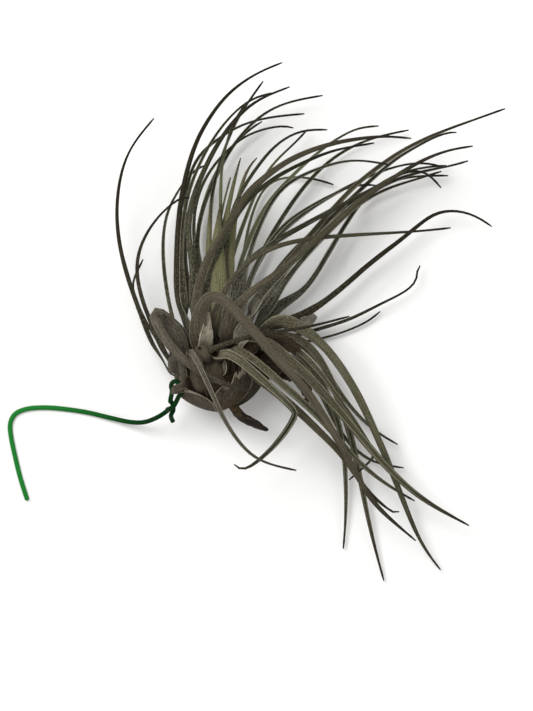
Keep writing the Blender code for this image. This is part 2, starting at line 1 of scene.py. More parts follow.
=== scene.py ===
"""Air plant (a tillandsia) lying on its side, with the green garden wire it was hung by.

The leaves follow the same routes as the solid model, in millimetres: the rosette opens
towards +Y, sweeps over to +X, and the bulb lies on its back on the surface at z = 0.
"""

import math
import random

import bmesh
import bpy
from mathutils import Matrix, Vector, noise


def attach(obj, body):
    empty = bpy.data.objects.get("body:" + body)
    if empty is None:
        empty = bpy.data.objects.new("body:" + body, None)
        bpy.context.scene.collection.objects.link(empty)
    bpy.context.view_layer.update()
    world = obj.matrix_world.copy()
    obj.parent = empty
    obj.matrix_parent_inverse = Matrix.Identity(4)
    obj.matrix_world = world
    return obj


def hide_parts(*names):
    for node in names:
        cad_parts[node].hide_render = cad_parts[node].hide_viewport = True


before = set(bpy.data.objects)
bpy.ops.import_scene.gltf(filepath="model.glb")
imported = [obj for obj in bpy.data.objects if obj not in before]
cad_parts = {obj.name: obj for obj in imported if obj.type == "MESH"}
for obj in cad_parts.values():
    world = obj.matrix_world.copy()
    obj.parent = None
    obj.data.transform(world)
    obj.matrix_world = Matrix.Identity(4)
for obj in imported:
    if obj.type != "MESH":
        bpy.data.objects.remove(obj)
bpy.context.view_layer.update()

MM = 0.001
UP = Vector((0, 0, 1))

# Crown: the egg-shaped woody core that every leaf grows from
CROWN_CENTRE = Vector((-13.5, -18.5, 16.8))
CROWN_RADII = Vector((17.0, 15.5, 17.4))
CROWN_SHRINK = 0.97         # share of the radii that the core keeps under its sheaths
CROWN_LUMPS = 0.03
GROWTH_AXIS = Vector((-0.08, 1.0, 0.05)).normalized()
SEAT_GAP = 0.35             # from the crown to the root of a leaf or sheath
FLOOR_GAP = 0.4             # lowest place of a sheath's middle surface

# Leaf blade: a thin channelled strip whose margins roll in towards the tip
CHANNEL_SQUASH = 0.6        # depth of the channel against a round one
SHEATH_ROLL = 0.75          # half angle of the channel at the sheath, in radians
BLADE_ROLL = 2.1            # the same towards the tip
DROOPING_ROLL = 2.5
HEART_ROLL = 1.5
BLADE_THICKNESS = 0.62
MARGIN_THINNING = 0.45      # thickness of the margin, as a share of the midrib's
TIP_HALF_WIDTH = 0.33
TAPER_POWER = 0.55
WIDTH_WAVE = 0.08           # how unevenly the width runs, as a share
MARGIN_WAVE = 0.12          # how far the margins wave up and down
FACING = 0.85               # how far a blade turns its face up or down past its sheath
BACK_LIMIT = -0.6           # a sheath that faces down more than this keeps its blade's back up
SHEATH_PEAK = 7.0           # distance from the root to the sheath's widest place
SHEATH_SPREAD = 5.0
BASE_FLARE = 0.35           # extra width at the very root, as a share
BASE_REACH = 6.0
ROOT_RUN = 2.5              # straight run off the crown
STATION_SPACING = 2.0
FEWEST_STATIONS = 24
STATION_CROWDING = 1.3      # above 1 puts more stations near the root
CURVE_STEPS = 10
SMOOTHING_PASSES = 60       # evens out a leaf's route between its points
BLADE_COLUMNS = 8

# Trichome hairs: their spots on a leaf, and their sizes
HAIRY_SHARE = 0.8           # of a leaf's length, from its root
HAIRS_AT_STATION = 2        # on each margin
HAIR_LENGTHS = (0.3, 0.6)
HAIR_FOOT = 0.06            # radii at the foot and the tip
HAIR_TIP = 0.012
HAIR_BATCH = 200            # hairs made in one mesh, which keeps the making quick

# Dry sheaths: scales that hug the crown, and lobes that stand free
OLD_SHEATH_SEAT = 0.75      # from the crown to the root of an old sheath
BULB_SCALE_SEAT = 0.2
OLD_SHEATH_THICKNESS = 0.6
SHEATH_THICKNESS = 0.5
SCALE_COLUMNS, SCALE_ROWS = 20, 24
SCALE_TIP = 0.25            # width left at a scale's free end, as a share
SCALE_RAGGEDNESS = 0.15
SCALE_CURL = 0.6            # how far the side margins stand off
COLLAR_CURL = 1.2
LOBE_COLUMNS = 16
LOBE_SPACING = 0.8

# Stump of the old stem, and the nub that carries the wire's loop
STUMP_ROUTE = [(-10, -28, 20), (-8.1, -32.2, 20), (-5.3, -36.2, 19.5), (0.7, -39.8, 18),
    (4.8, -41.8, 17.2), (6.2, -42.4, 17)]
STUMP_RADII = (2.3, 2.0, 1.8, 1.9, 1.5, 0.8)
STUMP_LUMPS = 0.35
NUB_ROOT = Vector((-24.0, -23.5, 18.5))
NUB_TIP = Vector((-32.0, -26.2, 26.0))
NUB_RADII = (3.2, 2.4, 1.8, 1.7, 1.6)
NUB_LUMPS = 0.4
STEM_COLUMNS = 20
STEM_SPACING = 0.5
STEM_ROUNDING = 0.06        # share of a stem's length over which its end rounds off

# Hanger wire
WIRE_DIAMETER = 1.9
WIRE_COLUMNS = 16
WIRE_SPACING = 0.6
LOOP_RADIUS = 3.1
LOOP_SEAT = 0.82            # share of the nub's length where the loop sits
LOOP_OPENING = 42.0         # half angle that the loop leaves open at the twist
LOOP_POINTS = 9
TWIST_TOP = Vector((-32.0, -30.8, 22.0))
TWIST_FOOT = Vector((-33.6, -35.2, 16.5))
TWIST_TURNS = 0.6
TWIST_POINTS = 6
STRAND_OFFSET = 1.15
WIRE_TAIL = [(-32.2, -39.4, 12.5), (-33.0, -37.4, 14.2)]
WIRE_ARM = [(-38.5, -37.2, 13.5), (-44, -39.3, 8.5), (-50, -39.4, 4.5), (-58, -37.8, 2.2),
    (-68, -35.5, 1.2), (-78.5, -34, 1), (-86, -33.6, 1), (-92.5, -34.2, 1), (-97, -36.2, 1),
    (-99, -40, 1), (-98.8, -45, 1), (-97.3, -52.5, 1), (-95, -62, 1), (-92, -71.5, 1)]

# Studio, in metres and watts; each light has its place, size and power
FLOOR_HALF_SIDE = 2.0
SKY_COLOUR = (1.0, 0.99, 0.97, 1.0)
SKY_STRENGTH = 0.5
LIGHTS = {"key": ((-0.4, 0.4, 0.95), 0.6, 10.0), "fill": ((0.7, -0.4, 0.8), 0.9, 2.5)}
CAMERA_PLACE = (0.0053, -0.0124, 1.1)
LENS_LENGTH = 136.7
SENSOR_WIDTH = 36.0
CLIP_END = 10.0

# Leaves by group: width, sheath flare and route from the neck of the bulb to the tip.
# Each one starts on the crown, straight below the first point of its route.
LEFT_LEAVES = [
    (2.6, 0.15, [(-33.5, -20.5, 19), (-35.5, -15, 18.5), (-39, -10.5, 18), (-42, -4.5, 18),
        (-44.5, 2.5, 18), (-52.5, 24, 18), (-55.5, 43.5, 19), (-53, 62.5, 21), (-47.5, 73, 23),
        (-39.5, 82, 26)]),
    (2.8, 0.15, [(-32.5, -17.5, 25), (-38, -5.5, 26), (-43.5, 7, 27), (-47, 20.5, 28),
        (-45, 31.5, 29), (-39, 41.5, 30), (-32, 48, 31), (-27.5, 50.5, 32), (-25, 50, 32)]),
    (1.6, 0.15, [(-34.5, -12.5, 22), (-41, -2.5, 22), (-46, 7.5, 22), (-48.5, 15, 22),
        (-47.5, 19, 22), (-44, 26, 22)]),
    (2.6, 0.15, [(-30.5, -4.5, 14), (-33, 4, 13), (-35, 14, 12), (-36.5, 25, 11), (-36.5, 36, 11),
        (-35, 45.5, 11), (-31, 53, 10), (-26.5, 60, 10), (-22, 63.5, 10), (-19, 64.5, 10)]),
    (4.0, 0.5, [(-26.5, -4.5, 20), (-29, 5.5, 22), (-30.5, 19.5, 22), (-30.5, 31.5, 22),
        (-29.5, 47.5, 23), (-26, 64, 24), (-21.5, 76, 25.5), (-15.5, 85, 27), (-9, 93, 28.5),
        (2, 100, 30.5), (11.5, 103.5, 32)]),
    (2.8, 0.15, [(-26.5, -0.5, 29), (-27.5, 9.5, 27), (-28.5, 21.5, 26), (-28.5, 33.5, 26),
        (-27.5, 45.5, 26), (-25, 55, 26), (-21, 65, 26), (-14.5, 76.5, 26), (-6.5, 85.5, 27),
        (1, 90.5, 28), (9, 92, 28)]),
    (4.2, 0.5, [(-23, 4, 29), (-23, 15.5, 31), (-24, 24.5, 32), (-26, 35, 31), (-25.5, 43, 31),
        (-23.5, 51.5, 31), (-20, 60, 31), (-15.5, 69, 31), (-10, 78, 31), (-2.5, 86, 31),
        (5, 90.5, 31), (14.5, 94, 31)]),
    (2.6, 0.15, [(-24.5, 3.5, 18), (-26.5, 14, 17), (-27.5, 28, 17), (-27.5, 40, 17),
        (-27.5, 50, 17), (-25.5, 61, 17), (-21.5, 68.5, 17), (-15.5, 73.5, 17), (-7.5, 79, 17),
        (3.5, 83, 18), (20.5, 84.5, 18)]),
    (3.0, 0.15, [(-16.5, 2, 9), (-19.5, 14, 8), (-22.5, 25.5, 8), (-23, 35.5, 8), (-20.5, 48, 8),
        (-16.5, 57, 8), (-11, 68.5, 9), (-4, 78, 9), (3.5, 85, 10), (13, 90, 10), (28, 92.5, 11)]),
    (2.4, 0.15, [(-15, 2.5, 5), (-19, 16, 4), (-22.5, 28.5, 4), (-23, 39, 4), (-19.5, 52, 4),
        (-15, 63.5, 4), (-8, 73, 4), (-1.5, 79.5, 5), (3.5, 82.5, 5)]),
    (2.4, 0.15, [(-20, 2.5, 26), (-21, 13.5, 24), (-22.5, 25, 23), (-24, 35.5, 22),
        (-23.5, 47.5, 22), (-19.5, 58.5, 22), (-13, 67, 22), (-5, 74.5, 22), (3.5, 78, 22),
        (12, 79.5, 22), (16, 78.5, 22)]),
    (2.8, 0.15, [(-16, 3.5, 12.5), (-17.5, 16, 14.5), (-17.5, 30, 16), (-17.5, 44, 15),
        (-16, 57, 15), (-12.5, 68, 14), (-8, 80, 14), (-2.5, 89, 14), (4, 98, 14)]),
    (2.6, 0.15, [(-12.5, 3.5, 26.5), (-12.5, 15.5, 26.5), (-12.5, 29.5, 26.5), (-13, 41.5, 26),
        (-13, 53.5, 25.5), (-12.5, 64, 25), (-10, 75.5, 24), (-6.5, 83, 23.5), (-3, 88, 23)]),
]
MIDDLE_LEAVES = [
    (4.4, 0.5, [(-22.5, 2, 37), (-22, 12.5, 38), (-19, 24.5, 38), (-14.5, 31.5, 38), (-6, 45, 38),
        (-2.5, 52, 38), (8, 60.5, 36.5), (14.5, 65, 36), (29.5, 71.5, 35), (44.5, 73.5, 34),
        (52, 74.5, 33), (62.5, 73.5, 32)]),
    (3.4, 0.15, [(-19.5, 2.5, 34), (-18.5, 12.5, 33), (-15.5, 25, 33), (-9.5, 38, 33),
        (-3, 49, 32.5), (7, 57, 31.5), (14.5, 61.5, 31), (28.5, 68, 30), (36.5, 70, 29.5),
        (48, 72, 28)]),
    (2.8, 0.15, [(-10.5, 4, 12.5), (-11, 14, 13), (-9.5, 24, 12), (-6, 35, 11), (-2, 46, 10),
        (3, 58, 10), (9, 66.5, 9), (16, 72.5, 9), (21.5, 78.5, 9)]),
    (2.8, 0.15, [(-11, 2.5, 30), (-11.5, 13.5, 30), (-11.5, 27.5, 30), (-9.5, 42, 30),
        (-5, 52.5, 29.5), (1, 61.5, 29), (7, 69.5, 28), (13.5, 74.5, 27), (20.5, 77.5, 26),
        (29.5, 77.5, 25)]),
    (3.0, 0.15, [(-5.5, 2.5, 17.5), (-8, 13.5, 19), (-5, 25, 18), (-0.5, 37, 17), (5, 48, 16),
        (12.5, 56.5, 15), (21, 65, 14), (30, 72.5, 13), (39, 78, 13), (44.5, 79.5, 13),
        (50.5, 80, 13)]),
    (3.0, 0.15, [(-6, 2.5, 12), (-3, 13, 10), (1.5, 25, 8), (7, 36, 7), (14, 47, 6),
        (21.5, 57.5, 5), (30.5, 66.5, 5), (40, 72.5, 5), (50.5, 76.5, 5), (63, 79, 5)]),
    (3.0, 0.15, [(-5.5, 3.5, 26.5), (-5, 13.5, 27), (-2, 26.5, 26), (2, 38, 25), (7, 48.5, 24),
        (13, 56, 24), (22, 60.5, 25), (32, 64, 27), (41.5, 65.5, 29), (53.5, 63, 33)]),
    (2.0, 0.15, [(-8, 5, 6), (-6, 16, 5), (-4, 28.5, 4), (-2, 40.5, 3), (2, 52.5, 3), (7.5, 59, 3),
        (17, 60.5, 3), (26.5, 59, 3), (32.5, 57, 3)]),
]
RIGHT_LEAVES = [
    (3.8, 0.3, [(-0.5, 1.5, 27.5), (3.5, 11.5, 30), (10, 20.5, 29), (18.5, 30.5, 28),
        (28.5, 42, 27), (38.5, 53.5, 26), (46.5, 60, 26), (54.5, 66, 26), (62.5, 71, 26),
        (74.5, 76.5, 27), (86, 80.5, 28), (100, 85.5, 29)]),
    (3.4, 0.3, [(-0.5, 2.5, 22.5), (5.5, 11, 23), (13, 21.5, 22), (22, 33, 21), (32, 43.5, 20),
        (42, 53, 19), (54, 64, 19), (59, 67.5, 18.5), (71, 74.5, 18), (78, 77, 18),
        (81.5, 77, 18)]),
    (4.6, 1.2, [(-8, -2.5, 39), (-7.5, 8, 41), (5, 16.5, 42), (13, 22.5, 41), (21.5, 30, 41),
        (31.5, 39, 39), (42, 48.5, 37), (54, 57, 35), (66, 64.5, 33), (77, 69, 32),
        (87, 70.5, 31)]),
    (3.6, 0.4, [(-1, 1, 34), (0.5, 9.5, 36), (7, 15.5, 35), (15.5, 24.5, 34), (24.5, 33, 33),
        (34.5, 43, 31), (45.5, 52, 29), (58.5, 58.5, 27), (70.5, 61.5, 26), (79, 63, 26),
        (85.5, 65, 26)]),
    (2.6, 0.15, [(-7, 3, 23), (-2.5, 15.5, 21), (3.5, 27.5, 20), (11, 37, 19), (21, 45, 18),
        (31, 51.5, 17), (41, 57, 16), (51, 61.5, 16), (61, 64.5, 16), (69, 65, 16),
        (75.5, 63.5, 16)]),
    (3.2, 0.15, [(3, 1, 17), (7.5, 10, 15), (14, 19, 14), (22, 29, 12), (32, 39, 11),
        (42.5, 49, 10), (53.5, 55, 9), (63.5, 58, 9), (76, 62, 9)]),
    (2.8, 0.15, [(-1.5, 2, 12), (3.5, 13, 10), (11.5, 25, 8), (22, 36, 7), (34.5, 45.5, 6),
        (46.5, 54, 5), (57.5, 59, 5), (67.5, 60.5, 5), (79, 60.5, 5)]),
    (3.4, 0.15, [(-10, 4.5, 34), (-6, 20.5, 36), (-0.5, 26, 36), (6, 31, 35), (14.5, 36, 34),
        (25.5, 42, 33), (37.5, 48.5, 32), (48.5, 54, 31), (57.5, 59.5, 30), (64, 61, 30),
        (69.5, 60, 30), (74.5, 54, 30)]),
    (2.8, 0.15, [(-4, 4, 31.5), (-2.5, 15.5, 29.5), (3, 27.5, 28), (9, 36, 27), (15.5, 42.5, 25),
        (24.5, 48, 23.5), (34.5, 53.5, 22.5), (42.5, 56, 22), (49, 55.5, 22)]),
    (3.0, 0.15, [(-17, 1, 40.5), (-9.5, 18, 43), (2, 27.5, 41), (10.5, 31, 39), (20.5, 33.5, 37.5),
        (36.5, 35, 36), (56, 36, 35), (70, 37, 35), (78, 38, 35)]),
    (3.2, 0.15, [(4.5, -1, 11.5), (7.5, 5.5, 10), (14.5, 10, 9), (20.5, 13.5, 8), (26, 21.5, 8),
        (32.5, 32.5, 8), (39, 43.5, 7), (45, 51.5, 7), (53.5, 59, 7), (65.5, 63.5, 7),
        (78, 64.5, 7)]),
    (3.4, 0.15, [(8, -1.5, 17), (15, 1.5, 15), (24.5, 6, 14), (35, 14, 13), (46, 24, 12),
        (56, 31.5, 12), (63, 37, 12), (69.5, 42.5, 12), (75, 45.5, 13), (82, 46, 13),
        (89.5, 44, 13), (96, 39.5, 13)]),
    (2.2, 0.15, [(10, -6, 7.5), (33.5, 0, 7), (42, 3.5, 7), (51.5, 8.5, 7), (59, 12, 7),
        (64.5, 15.5, 7), (66.5, 19.5, 7), (66, 21.5, 7), (67.5, 24, 7)]),
    (2.0, 0.15, [(-20, -14.5, 40), (-20, -12, 43.5), (-16, -10, 46), (-11, -8, 47), (-3, -5.5, 47),
        (6.5, -3.5, 45), (18.5, -2, 41), (28.5, 0.5, 38), (38, 3, 36)]),
    (1.6, 0.15, [(8, -9, 3), (28.5, -6, 3), (43, -0.5, 3), (48, 2.5, 3), (51.5, 5.5, 3)]),
]
DROOPING_LEAVES = [
    (4.2, 0.6, [(2, -4.5, 25), (8.5, 1.5, 30), (15.5, 0, 30), (22.5, -3.5, 29), (30.5, -11, 27),
        (38.5, -22.5, 24), (46, -36.5, 20), (52, -50.5, 16), (58, -64.5, 12), (64, -80.5, 8),
        (70, -92, 5), (76, -99.5, 3)]),
    (3.6, 0.15, [(4, -6.5, 21.5), (11, -3.5, 22), (18, -5.5, 22), (25, -11, 20), (30, -20, 17),
        (34.5, -30.5, 13), (38.5, -42, 10), (41.5, -54, 7), (44.5, -69, 5), (48, -86, 4),
        (53, -104, 2)]),
    (4.6, 0.4, [(-0.5, -6.5, 37), (5, -7, 38), (11.5, -12, 37), (19.5, -18.5, 34),
        (27.5, -27.5, 31), (36, -36.5, 28), (43.5, -46, 25), (52.5, -56.5, 21), (63, -66.5, 17),
        (73, -73.5, 14), (87, -81, 11)]),
    (3.2, 0.15, [(4, -9, 14), (10, -6.5, 15), (17.5, -11, 15), (25, -19, 13), (30, -28.5, 11),
        (34, -38.5, 9), (36.5, -50, 7), (37.5, -63, 5), (37.5, -79.5, 3), (36.5, -91, 2)]),
    (3.6, 0.15, [(-9, -10, 43.5), (-8, -9.5, 46), (-2.5, -12, 45), (3.5, -16.5, 43),
        (10.5, -23, 41), (18.5, -30, 37), (27.5, -38, 33), (36.5, -49, 29), (44.5, -57.5, 26),
        (55.5, -65.5, 23), (64.5, -70.5, 21)]),
    (4.0, 0.15, [(-13.5, -13.5, 42), (-14, -13, 46.5), (-10.5, -11, 49), (-5, -14.5, 48),
        (2, -20.5, 46), (13, -30.8, 41.6), (16.6, -34.2, 40.4), (16.4, -36, 39.9),
        (13.5, -41.5, 38), (8, -48.5, 35), (1.5, -54.5, 33), (-3, -57.5, 32), (-6, -57, 31),
        (-7.5, -55.5, 31)]),
    (3.2, 0.15, [(-4.5, -12.5, 38), (-5, -15.5, 41), (2, -21.5, 40), (9.5, -27.5, 38),
        (17.5, -34, 35), (24.5, -41, 32), (32.5, -48.5, 28), (38.5, -56, 25), (44, -65.5, 22),
        (54, -74, 19), (56.5, -75.5, 18), (58.5, -75, 18)]),
    (2.6, 0.15, [(6, -12, 12), (13, -5.5, 11.5), (20, -8.5, 10), (27, -15, 9), (32.5, -24, 8),
        (37.5, -31, 7), (43.5, -38, 6), (50.5, -44, 6), (58.5, -48.5, 5)]),
    (2.4, 0.15, [(4, -14, 5), (13, -10.5, 6), (21, -17.5, 6), (28, -28.5, 5), (33, -40.5, 4),
        (39.5, -49, 4), (46, -54.5, 4), (53.5, -57, 4), (61, -58, 4)]),
    (2.6, 0.15, [(6, -7, 29), (12.5, -7, 28), (20.5, -12, 26), (28.5, -21.5, 24), (35, -31, 21),
        (39.5, -37, 19), (48, -50, 15), (48.5, -53, 14), (46.5, -55.5, 14), (38.5, -62.5, 13)]),
]
FRONT_LEAVES = [
    (5.6, 0.3, [(-20.5, -8.5, 42), (-22, 0.5, 45), (-19.5, 8, 49), (-16, 11, 53), (-12, 9.5, 56),
        (-5.5, 3.5, 56), (1, -4, 54), (8.5, -13, 51), (16.5, -21, 47), (23.5, -29.5, 42),
        (31.5, -42.5, 36), (38.5, -54.5, 31), (45, -67.5, 27), (52, -75.5, 24), (65, -86.5, 20)]),
]
FOLDED_LEAVES = [
    (5.2, 0.5, [(-28, -10, 31), (-29.5, -5, 38), (-33.5, 1, 40), (-36.5, 4, 42), (-38.5, 4, 44),
        (-38, 1, 46), (-35, -5, 47), (-29.5, -12, 47), (-16.5, -22.5, 47), (-0.5, -26.5, 43)]),
    (4.6, 0.3, [(-29, -20, 28), (-31.5, -17, 32), (-31.5, -13.5, 36), (-29.5, -12.5, 37.5),
        (-28, -15, 37.5), (-28, -20, 36.5), (-27.5, -26, 33.5)]),
    (3.6, 0.5, [(-23, -18.5, 38), (-25.5, -11, 45), (-24, -10.5, 48), (-21.5, -15, 50),
        (-15, -29, 51), (-11.5, -37, 49), (-6.5, -45, 46), (-0.5, -52, 43), (7.5, -55.5, 41),
        (17, -57.5, 40)]),
]
LEAF_GROUPS = {"left": LEFT_LEAVES, "middle": MIDDLE_LEAVES, "right": RIGHT_LEAVES,
    "drooping": DROOPING_LEAVES, "front": FRONT_LEAVES, "folded": FOLDED_LEAVES}

# Young leaves in the middle, grown together at their base: width and route
HEART_LEAVES = [
    (6.2, [(-15, 3.5, 32), (-14.6, 13.5, 33.5), (-14.5, 25, 33), (-14, 35.5, 31.5),
        (-13, 47.5, 29)]),
    (2.6, [(-16.5, 3.5, 27), (-17, 13.5, 28), (-17.5, 25, 27), (-17.8, 36.5, 26), (-17, 50, 25)]),
    (3.4, [(-14, 3.5, 28), (-14, 13.5, 29), (-12.5, 35.5, 27), (-7, 59.5, 24), (-5, 66.5, 23)]),
    (3.4, [(-12.5, 3.5, 27), (-11, 13.5, 28), (-8.5, 37.5, 26), (-4, 60.5, 24), (1.5, 66.5, 23)]),
    (1.8, [(-14.5, 3.5, 30), (-14.5, 29.5, 30), (-13, 43.5, 28), (-9, 58.5, 26)]),
]

# Wider sheaths than the routes' own: flare, distance of the widest place and spread
SHEATH_SHAPES = {"left_02": (0.6, 8, 10), "left_05": (1.2, 11, 16), "left_06": (1.2, 12, 16),
    "left_07": (1.2, 11, 16), "left_08": (1.2, 10, 14), "left_11": (1.0, 10, 14),
    "left_12": (1.0, 12, 14), "left_13": (1.0, 10, 14), "middle_01": (0.8, 11, 13),
    "middle_02": (1.0, 11, 14), "middle_04": (1.0, 12, 13), "middle_07": (1.0, 12, 13),
    "right_01": (1.7, 8, 13), "right_02": (0.9, 8, 11), "right_03": (1.9, 9, 10),
    "right_04": (1.8, 9, 13), "right_05": (1.0, 10, 12), "right_06": (1.6, 11, 13),
    "right_07": (1.2, 10, 12), "right_08": (1.0, 12, 13), "right_09": (0.8, 10, 12),
    "right_11": (1.7, 12, 13), "right_12": (0.9, 15, 14), "right_14": (0.6, 6, 12),
    "drooping_01": (1.0, 15, 11), "drooping_03": (0.6, 10, 9), "front_arch": (1.0, 10, 12),
    "folded_01": (0.8, 12, 9), "folded_03": (1.0, 7, 8)}
HEART_SHEATH = (1.0, 24.0, 16.0)

# Blade widths against the routes' own, by group and for single leaves
WIDTH_GAINS = {"left": 0.64, "middle": 0.68, "right": 0.72, "drooping": 0.92, "folded": 0.95,
    "front": 0.82, "left_01": 0.76, "left_05": 0.61, "folded_03": 0.6, "middle_01": 0.72,
    "right_01": 0.64, "right_03": 0.64, "right_14": 1.0, "drooping_07": 1.1}

# Leaves with a finish of their own: young leaves of a fresher green, leaves with silvery bases,
# smooth brown velvet ones, the long arch, the folds that stand up like ears, and the kinked
# leaf that turns its dark back up. The others are "leaf" or, where they droop, "drooping".
LEAF_FINISHES = {
    "young": ("middle_03", "middle_05", "middle_08", "left_13", "left_10"),
    "silvered": ("right_02", "right_04", "right_05", "right_06", "right_07", "right_08",
        "right_09", "right_11", "middle_07"),
    "velvet": ("middle_01", "right_01", "right_03", "right_10"),
    "arching": ("front_arch",),
    "ear": ("folded_01", "folded_02", "folded_03"),
    "turned": ("drooping_06",),
}
# How green each kind is, from 0 to 1; each leaf that isn't brown falls within the range
LEAF_GREENNESS = (0.6, 1.0)
BROWN_GREENNESS = 0.1
HEART_GREENNESS = 0.6
RANDOM_SEED = 7
# Leaves that stay brown along their length
BROWN_LEAVES = ("left_01", "left_02", "left_03", "left_05", "right_12", "right_13", "right_14",
    "right_15", "drooping_07")
# Leaves that turn their backs up
BACK_LEAVES = ("middle_01", "right_03", "right_10", "front_arch", "drooping_01", "folded_01",
    "folded_02", *BROWN_LEAVES)

# Each piece's own number shifts its patterns: the first of its kind, and the step to the next
OWN_NUMBERS = {"leaf": (0.11, 0.37), "heart": (3.3, 0.41), "old_sheath": (1.3, 0.71),
    "collar": (6.1, 0.53), "bulb_scale": (11.1, 0.53), "lobe": (21.3, 0.47), "flap": (8.4, 0),
    "stump": (2.6, 0), "nub": (5.2, 0)}

# Old sheaths: name, azimuth about +Y from +Z towards -X, half spread, polar angle from -Y
# of the lower and upper end (all in degrees), how far the free end stands off, and finish
OLD_SHEATHS = [
    ("old_sheath_bowl", 56, 46, 4, 70, 2.6, "dry"),
    ("old_sheath_spoon", 37, 13, 48, 84, 1.0, "brown"),
    ("old_sheath_dome", 4, 17, 40, 84, 0.6, "brown"),
    ("old_sheath_front", -18, 31, 18, 84, 3.0, "mottled"),
    ("old_sheath_back_left", 120, 28, 30, 115, 1.0, "dry"),
    ("old_sheath_back_right", -138, 13, 30, 100, 1.0, "brown"),
]
# How far each one's lower and upper end slant from side to side, in degrees
SHEATH_SLANTS = {"old_sheath_front": (-20, -12)}

# Inner sheaths that close the neck of the bulb: azimuth, lift and finish
COLLAR = [
    (0, 0.8, "brown"), (34, 1.2, "brown"), (66, 3.0, "dry"), (98, 5.0, "dry"),
    (128, 5.0, "leaf"), (160, 2.0, "leaf"), (192, 2.0, "leaf"), (224, 5.0, "leaf"),
    (256, 6.0, "leaf"), (286, 5.0, "brown"), (314, 2.0, "brown"), (340, 0.8, "brown"),
]
COLLAR_ANGLES = (22, 62, 118)       # half spread, lower and upper polar angle

# More scales on the bulb: azimuth, half spread, lower and upper polar angle, lift, finish
BULB_SCALES = [
    (-72, 24, 30, 96, 2.2, "brown"),
    (86, 30, 30, 100, 1.6, "dry"),
    (160, 30, 20, 96, 0.8, "brown"),
    (-110, 26, 24, 96, 1.0, "brown"),
]

# Sheaths that stand free, and two patches on them for painted light and shade: name, finish,
# upper side, raggedness, half widths and drops from root to end, and route
LOBES = [
    ("arch_inner_sheath", "cream", (0.3, -0.2, 1), 0.1, (2.6, 2.7, 1.6, 0.4),
        (-0.3, -0.6, -0.4, 0),
        [(-18.9, -9.5, 41.6), (-18.4, -5, 43.4), (-17.8, 0, 44.4), (-17.2, 4.5, 44.8)]),
    ("silvery_sheath", "silver", (0.1, -0.2, 1), 0.05, (1.6, 3.0, 2.6, 0.8), (0.5, 1, 1, 0.5),
        [(-6.5, -8, 36), (-4.6, -4, 38), (-2.5, 0, 39), (-0.8, 3.5, 39)]),
    ("knob_sheath", "velvet", (-0.2, 0, 1), 0.0, (1.6, 3.0, 3.0, 1.6), (1, 2.8, 2.8, 1),
        [(-22.2, -8.6, 41.6), (-21, -10.2, 44.6), (-18.8, -12.4, 45), (-16.6, -14.6, 43)]),
    # Dark patch on the knob where its broken end is hollow: painted shade
    ("knob_hole_painted_shade", "brown", (-0.2, 0, 1), 0.0, (0.3, 0.6, 0.3), (0, 0.1, 0),
        [(-21.3, -9.3, 44.9), (-20.8, -9.6, 45.1), (-20.3, -9.9, 45)]),
    ("folded_01_sheath", "ear", (-0.3, 0.1, 1), 0.0, (2.8, 3.9, 3.5, 1.2), (1.5, 2.2, 2, 0.8),
        [(-28, -14, 33), (-30, -7, 38), (-33, -1, 40.2), (-35.8, 3.4, 41.6)]),
    ("folded_03_sheath", "dry", (0.2, 0, 1), 0.05, (0.6, 2.0, 1.8, 0.8), (0.4, 0.8, 0.8, 0.3),
        [(-25.6, -9.8, 46), (-23.4, -12.2, 47.4), (-21.2, -16, 48.6), (-19.6, -19.6, 49)]),
    ("dome_sheath", "velvet", (0, -0.3, 1), 0.0, (2.8, 4.4, 4.4, 2.8, 0.8), (1.4, 3, 3, 2, 0.8),
        [(-15.8, -22.2, 34.4), (-15.5, -19.4, 37.6), (-15.2, -16.4, 39), (-14.9, -14, 38.6),
        (-14.7, -12.4, 37)]),
    # Pale strip on the right of the dome: a painted highlight, in the cream finish
    ("dome_painted_highlight", "cream", (-0.5, -0.2, 1), 0.1, (0.4, 1.1, 1.1, 0.4),
        (-0.5, -0.8, -0.8, 0),
        [(-12, -20.2, 35.4), (-11.2, -18, 37), (-11.1, -15.8, 37.6), (-11.6, -14, 37)]),
    ("spoon_sheath", "velvet", (-0.4, -0.3, 1), 0.0, (1.6, 2.5, 2.6, 1.7), (0.8, 1.8, 2, 1.4),
        [(-23.8, -17, 34.4), (-22.9, -21, 35), (-21.8, -25, 33.6), (-20.8, -28, 31)]),
    ("arch_brown_dome", "brown", (0, -0.2, 1), 0.05, (1.6, 3.3, 3.2, 1.2), (1, 2.6, 2.4, 0.8),
        [(-7, -14, 35), (-3, -10.5, 38.2), (1.5, -8, 38.6), (5, -7, 37)]),
    ("brown_dome_edge", "cream", (-0.6, -0.2, 1), 0.05, (0.3, 0.9, 0.9, 0.3),
        (-0.3, -0.5, -0.5, 0),
        [(-5.6, -11, 38.4), (-4.9, -9, 39.6), (-3.6, -7.2, 40), (-1.8, -6.2, 39.6)]),
    ("right_brown_sheath", "brown", (0.2, -0.2, 1), 0.3, (4.6, 5.6, 5.0, 2.4), (2, 3.4, 3, 1.4),
        [(-2, -17.5, 27), (4, -17.4, 29.4), (9.6, -16.6, 28.6), (14, -15.4, 26)]),
    ("ragged_sheath", "brown", (0.1, -0.1, 1), 0.5, (2.6, 3.4, 3.2, 2.8, 2.2), (1, 2, 2, 1, 0.5),
        [(-2, -7, 31.5), (4, -6, 33), (10, -6.5, 33), (15, -8.5, 31.5), (18, -10.6, 30)]),
    ("papery_flap", "pale", (0.1, 0.1, 1), 0.4, (0.8, 2.2, 2.6, 0.9), (0.2, 0.5, 0.4, 0.2),
        [(15.5, 0.6, 15.9), (19, 0.4, 16), (22, 1.4, 16), (24.8, 3.8, 15.8)]),
    ("nub_sheath", "dry", (-0.1, -0.1, 1), 0.1, (1.9, 2.0, 1.6, 0.6), (0.8, 1.2, 1.0, 0.4),
        [(-24.5, -22.5, 28.6), (-27.2, -24.4, 30), (-30, -26.2, 29.8), (-32.6, -27.4, 28.2)]),
]
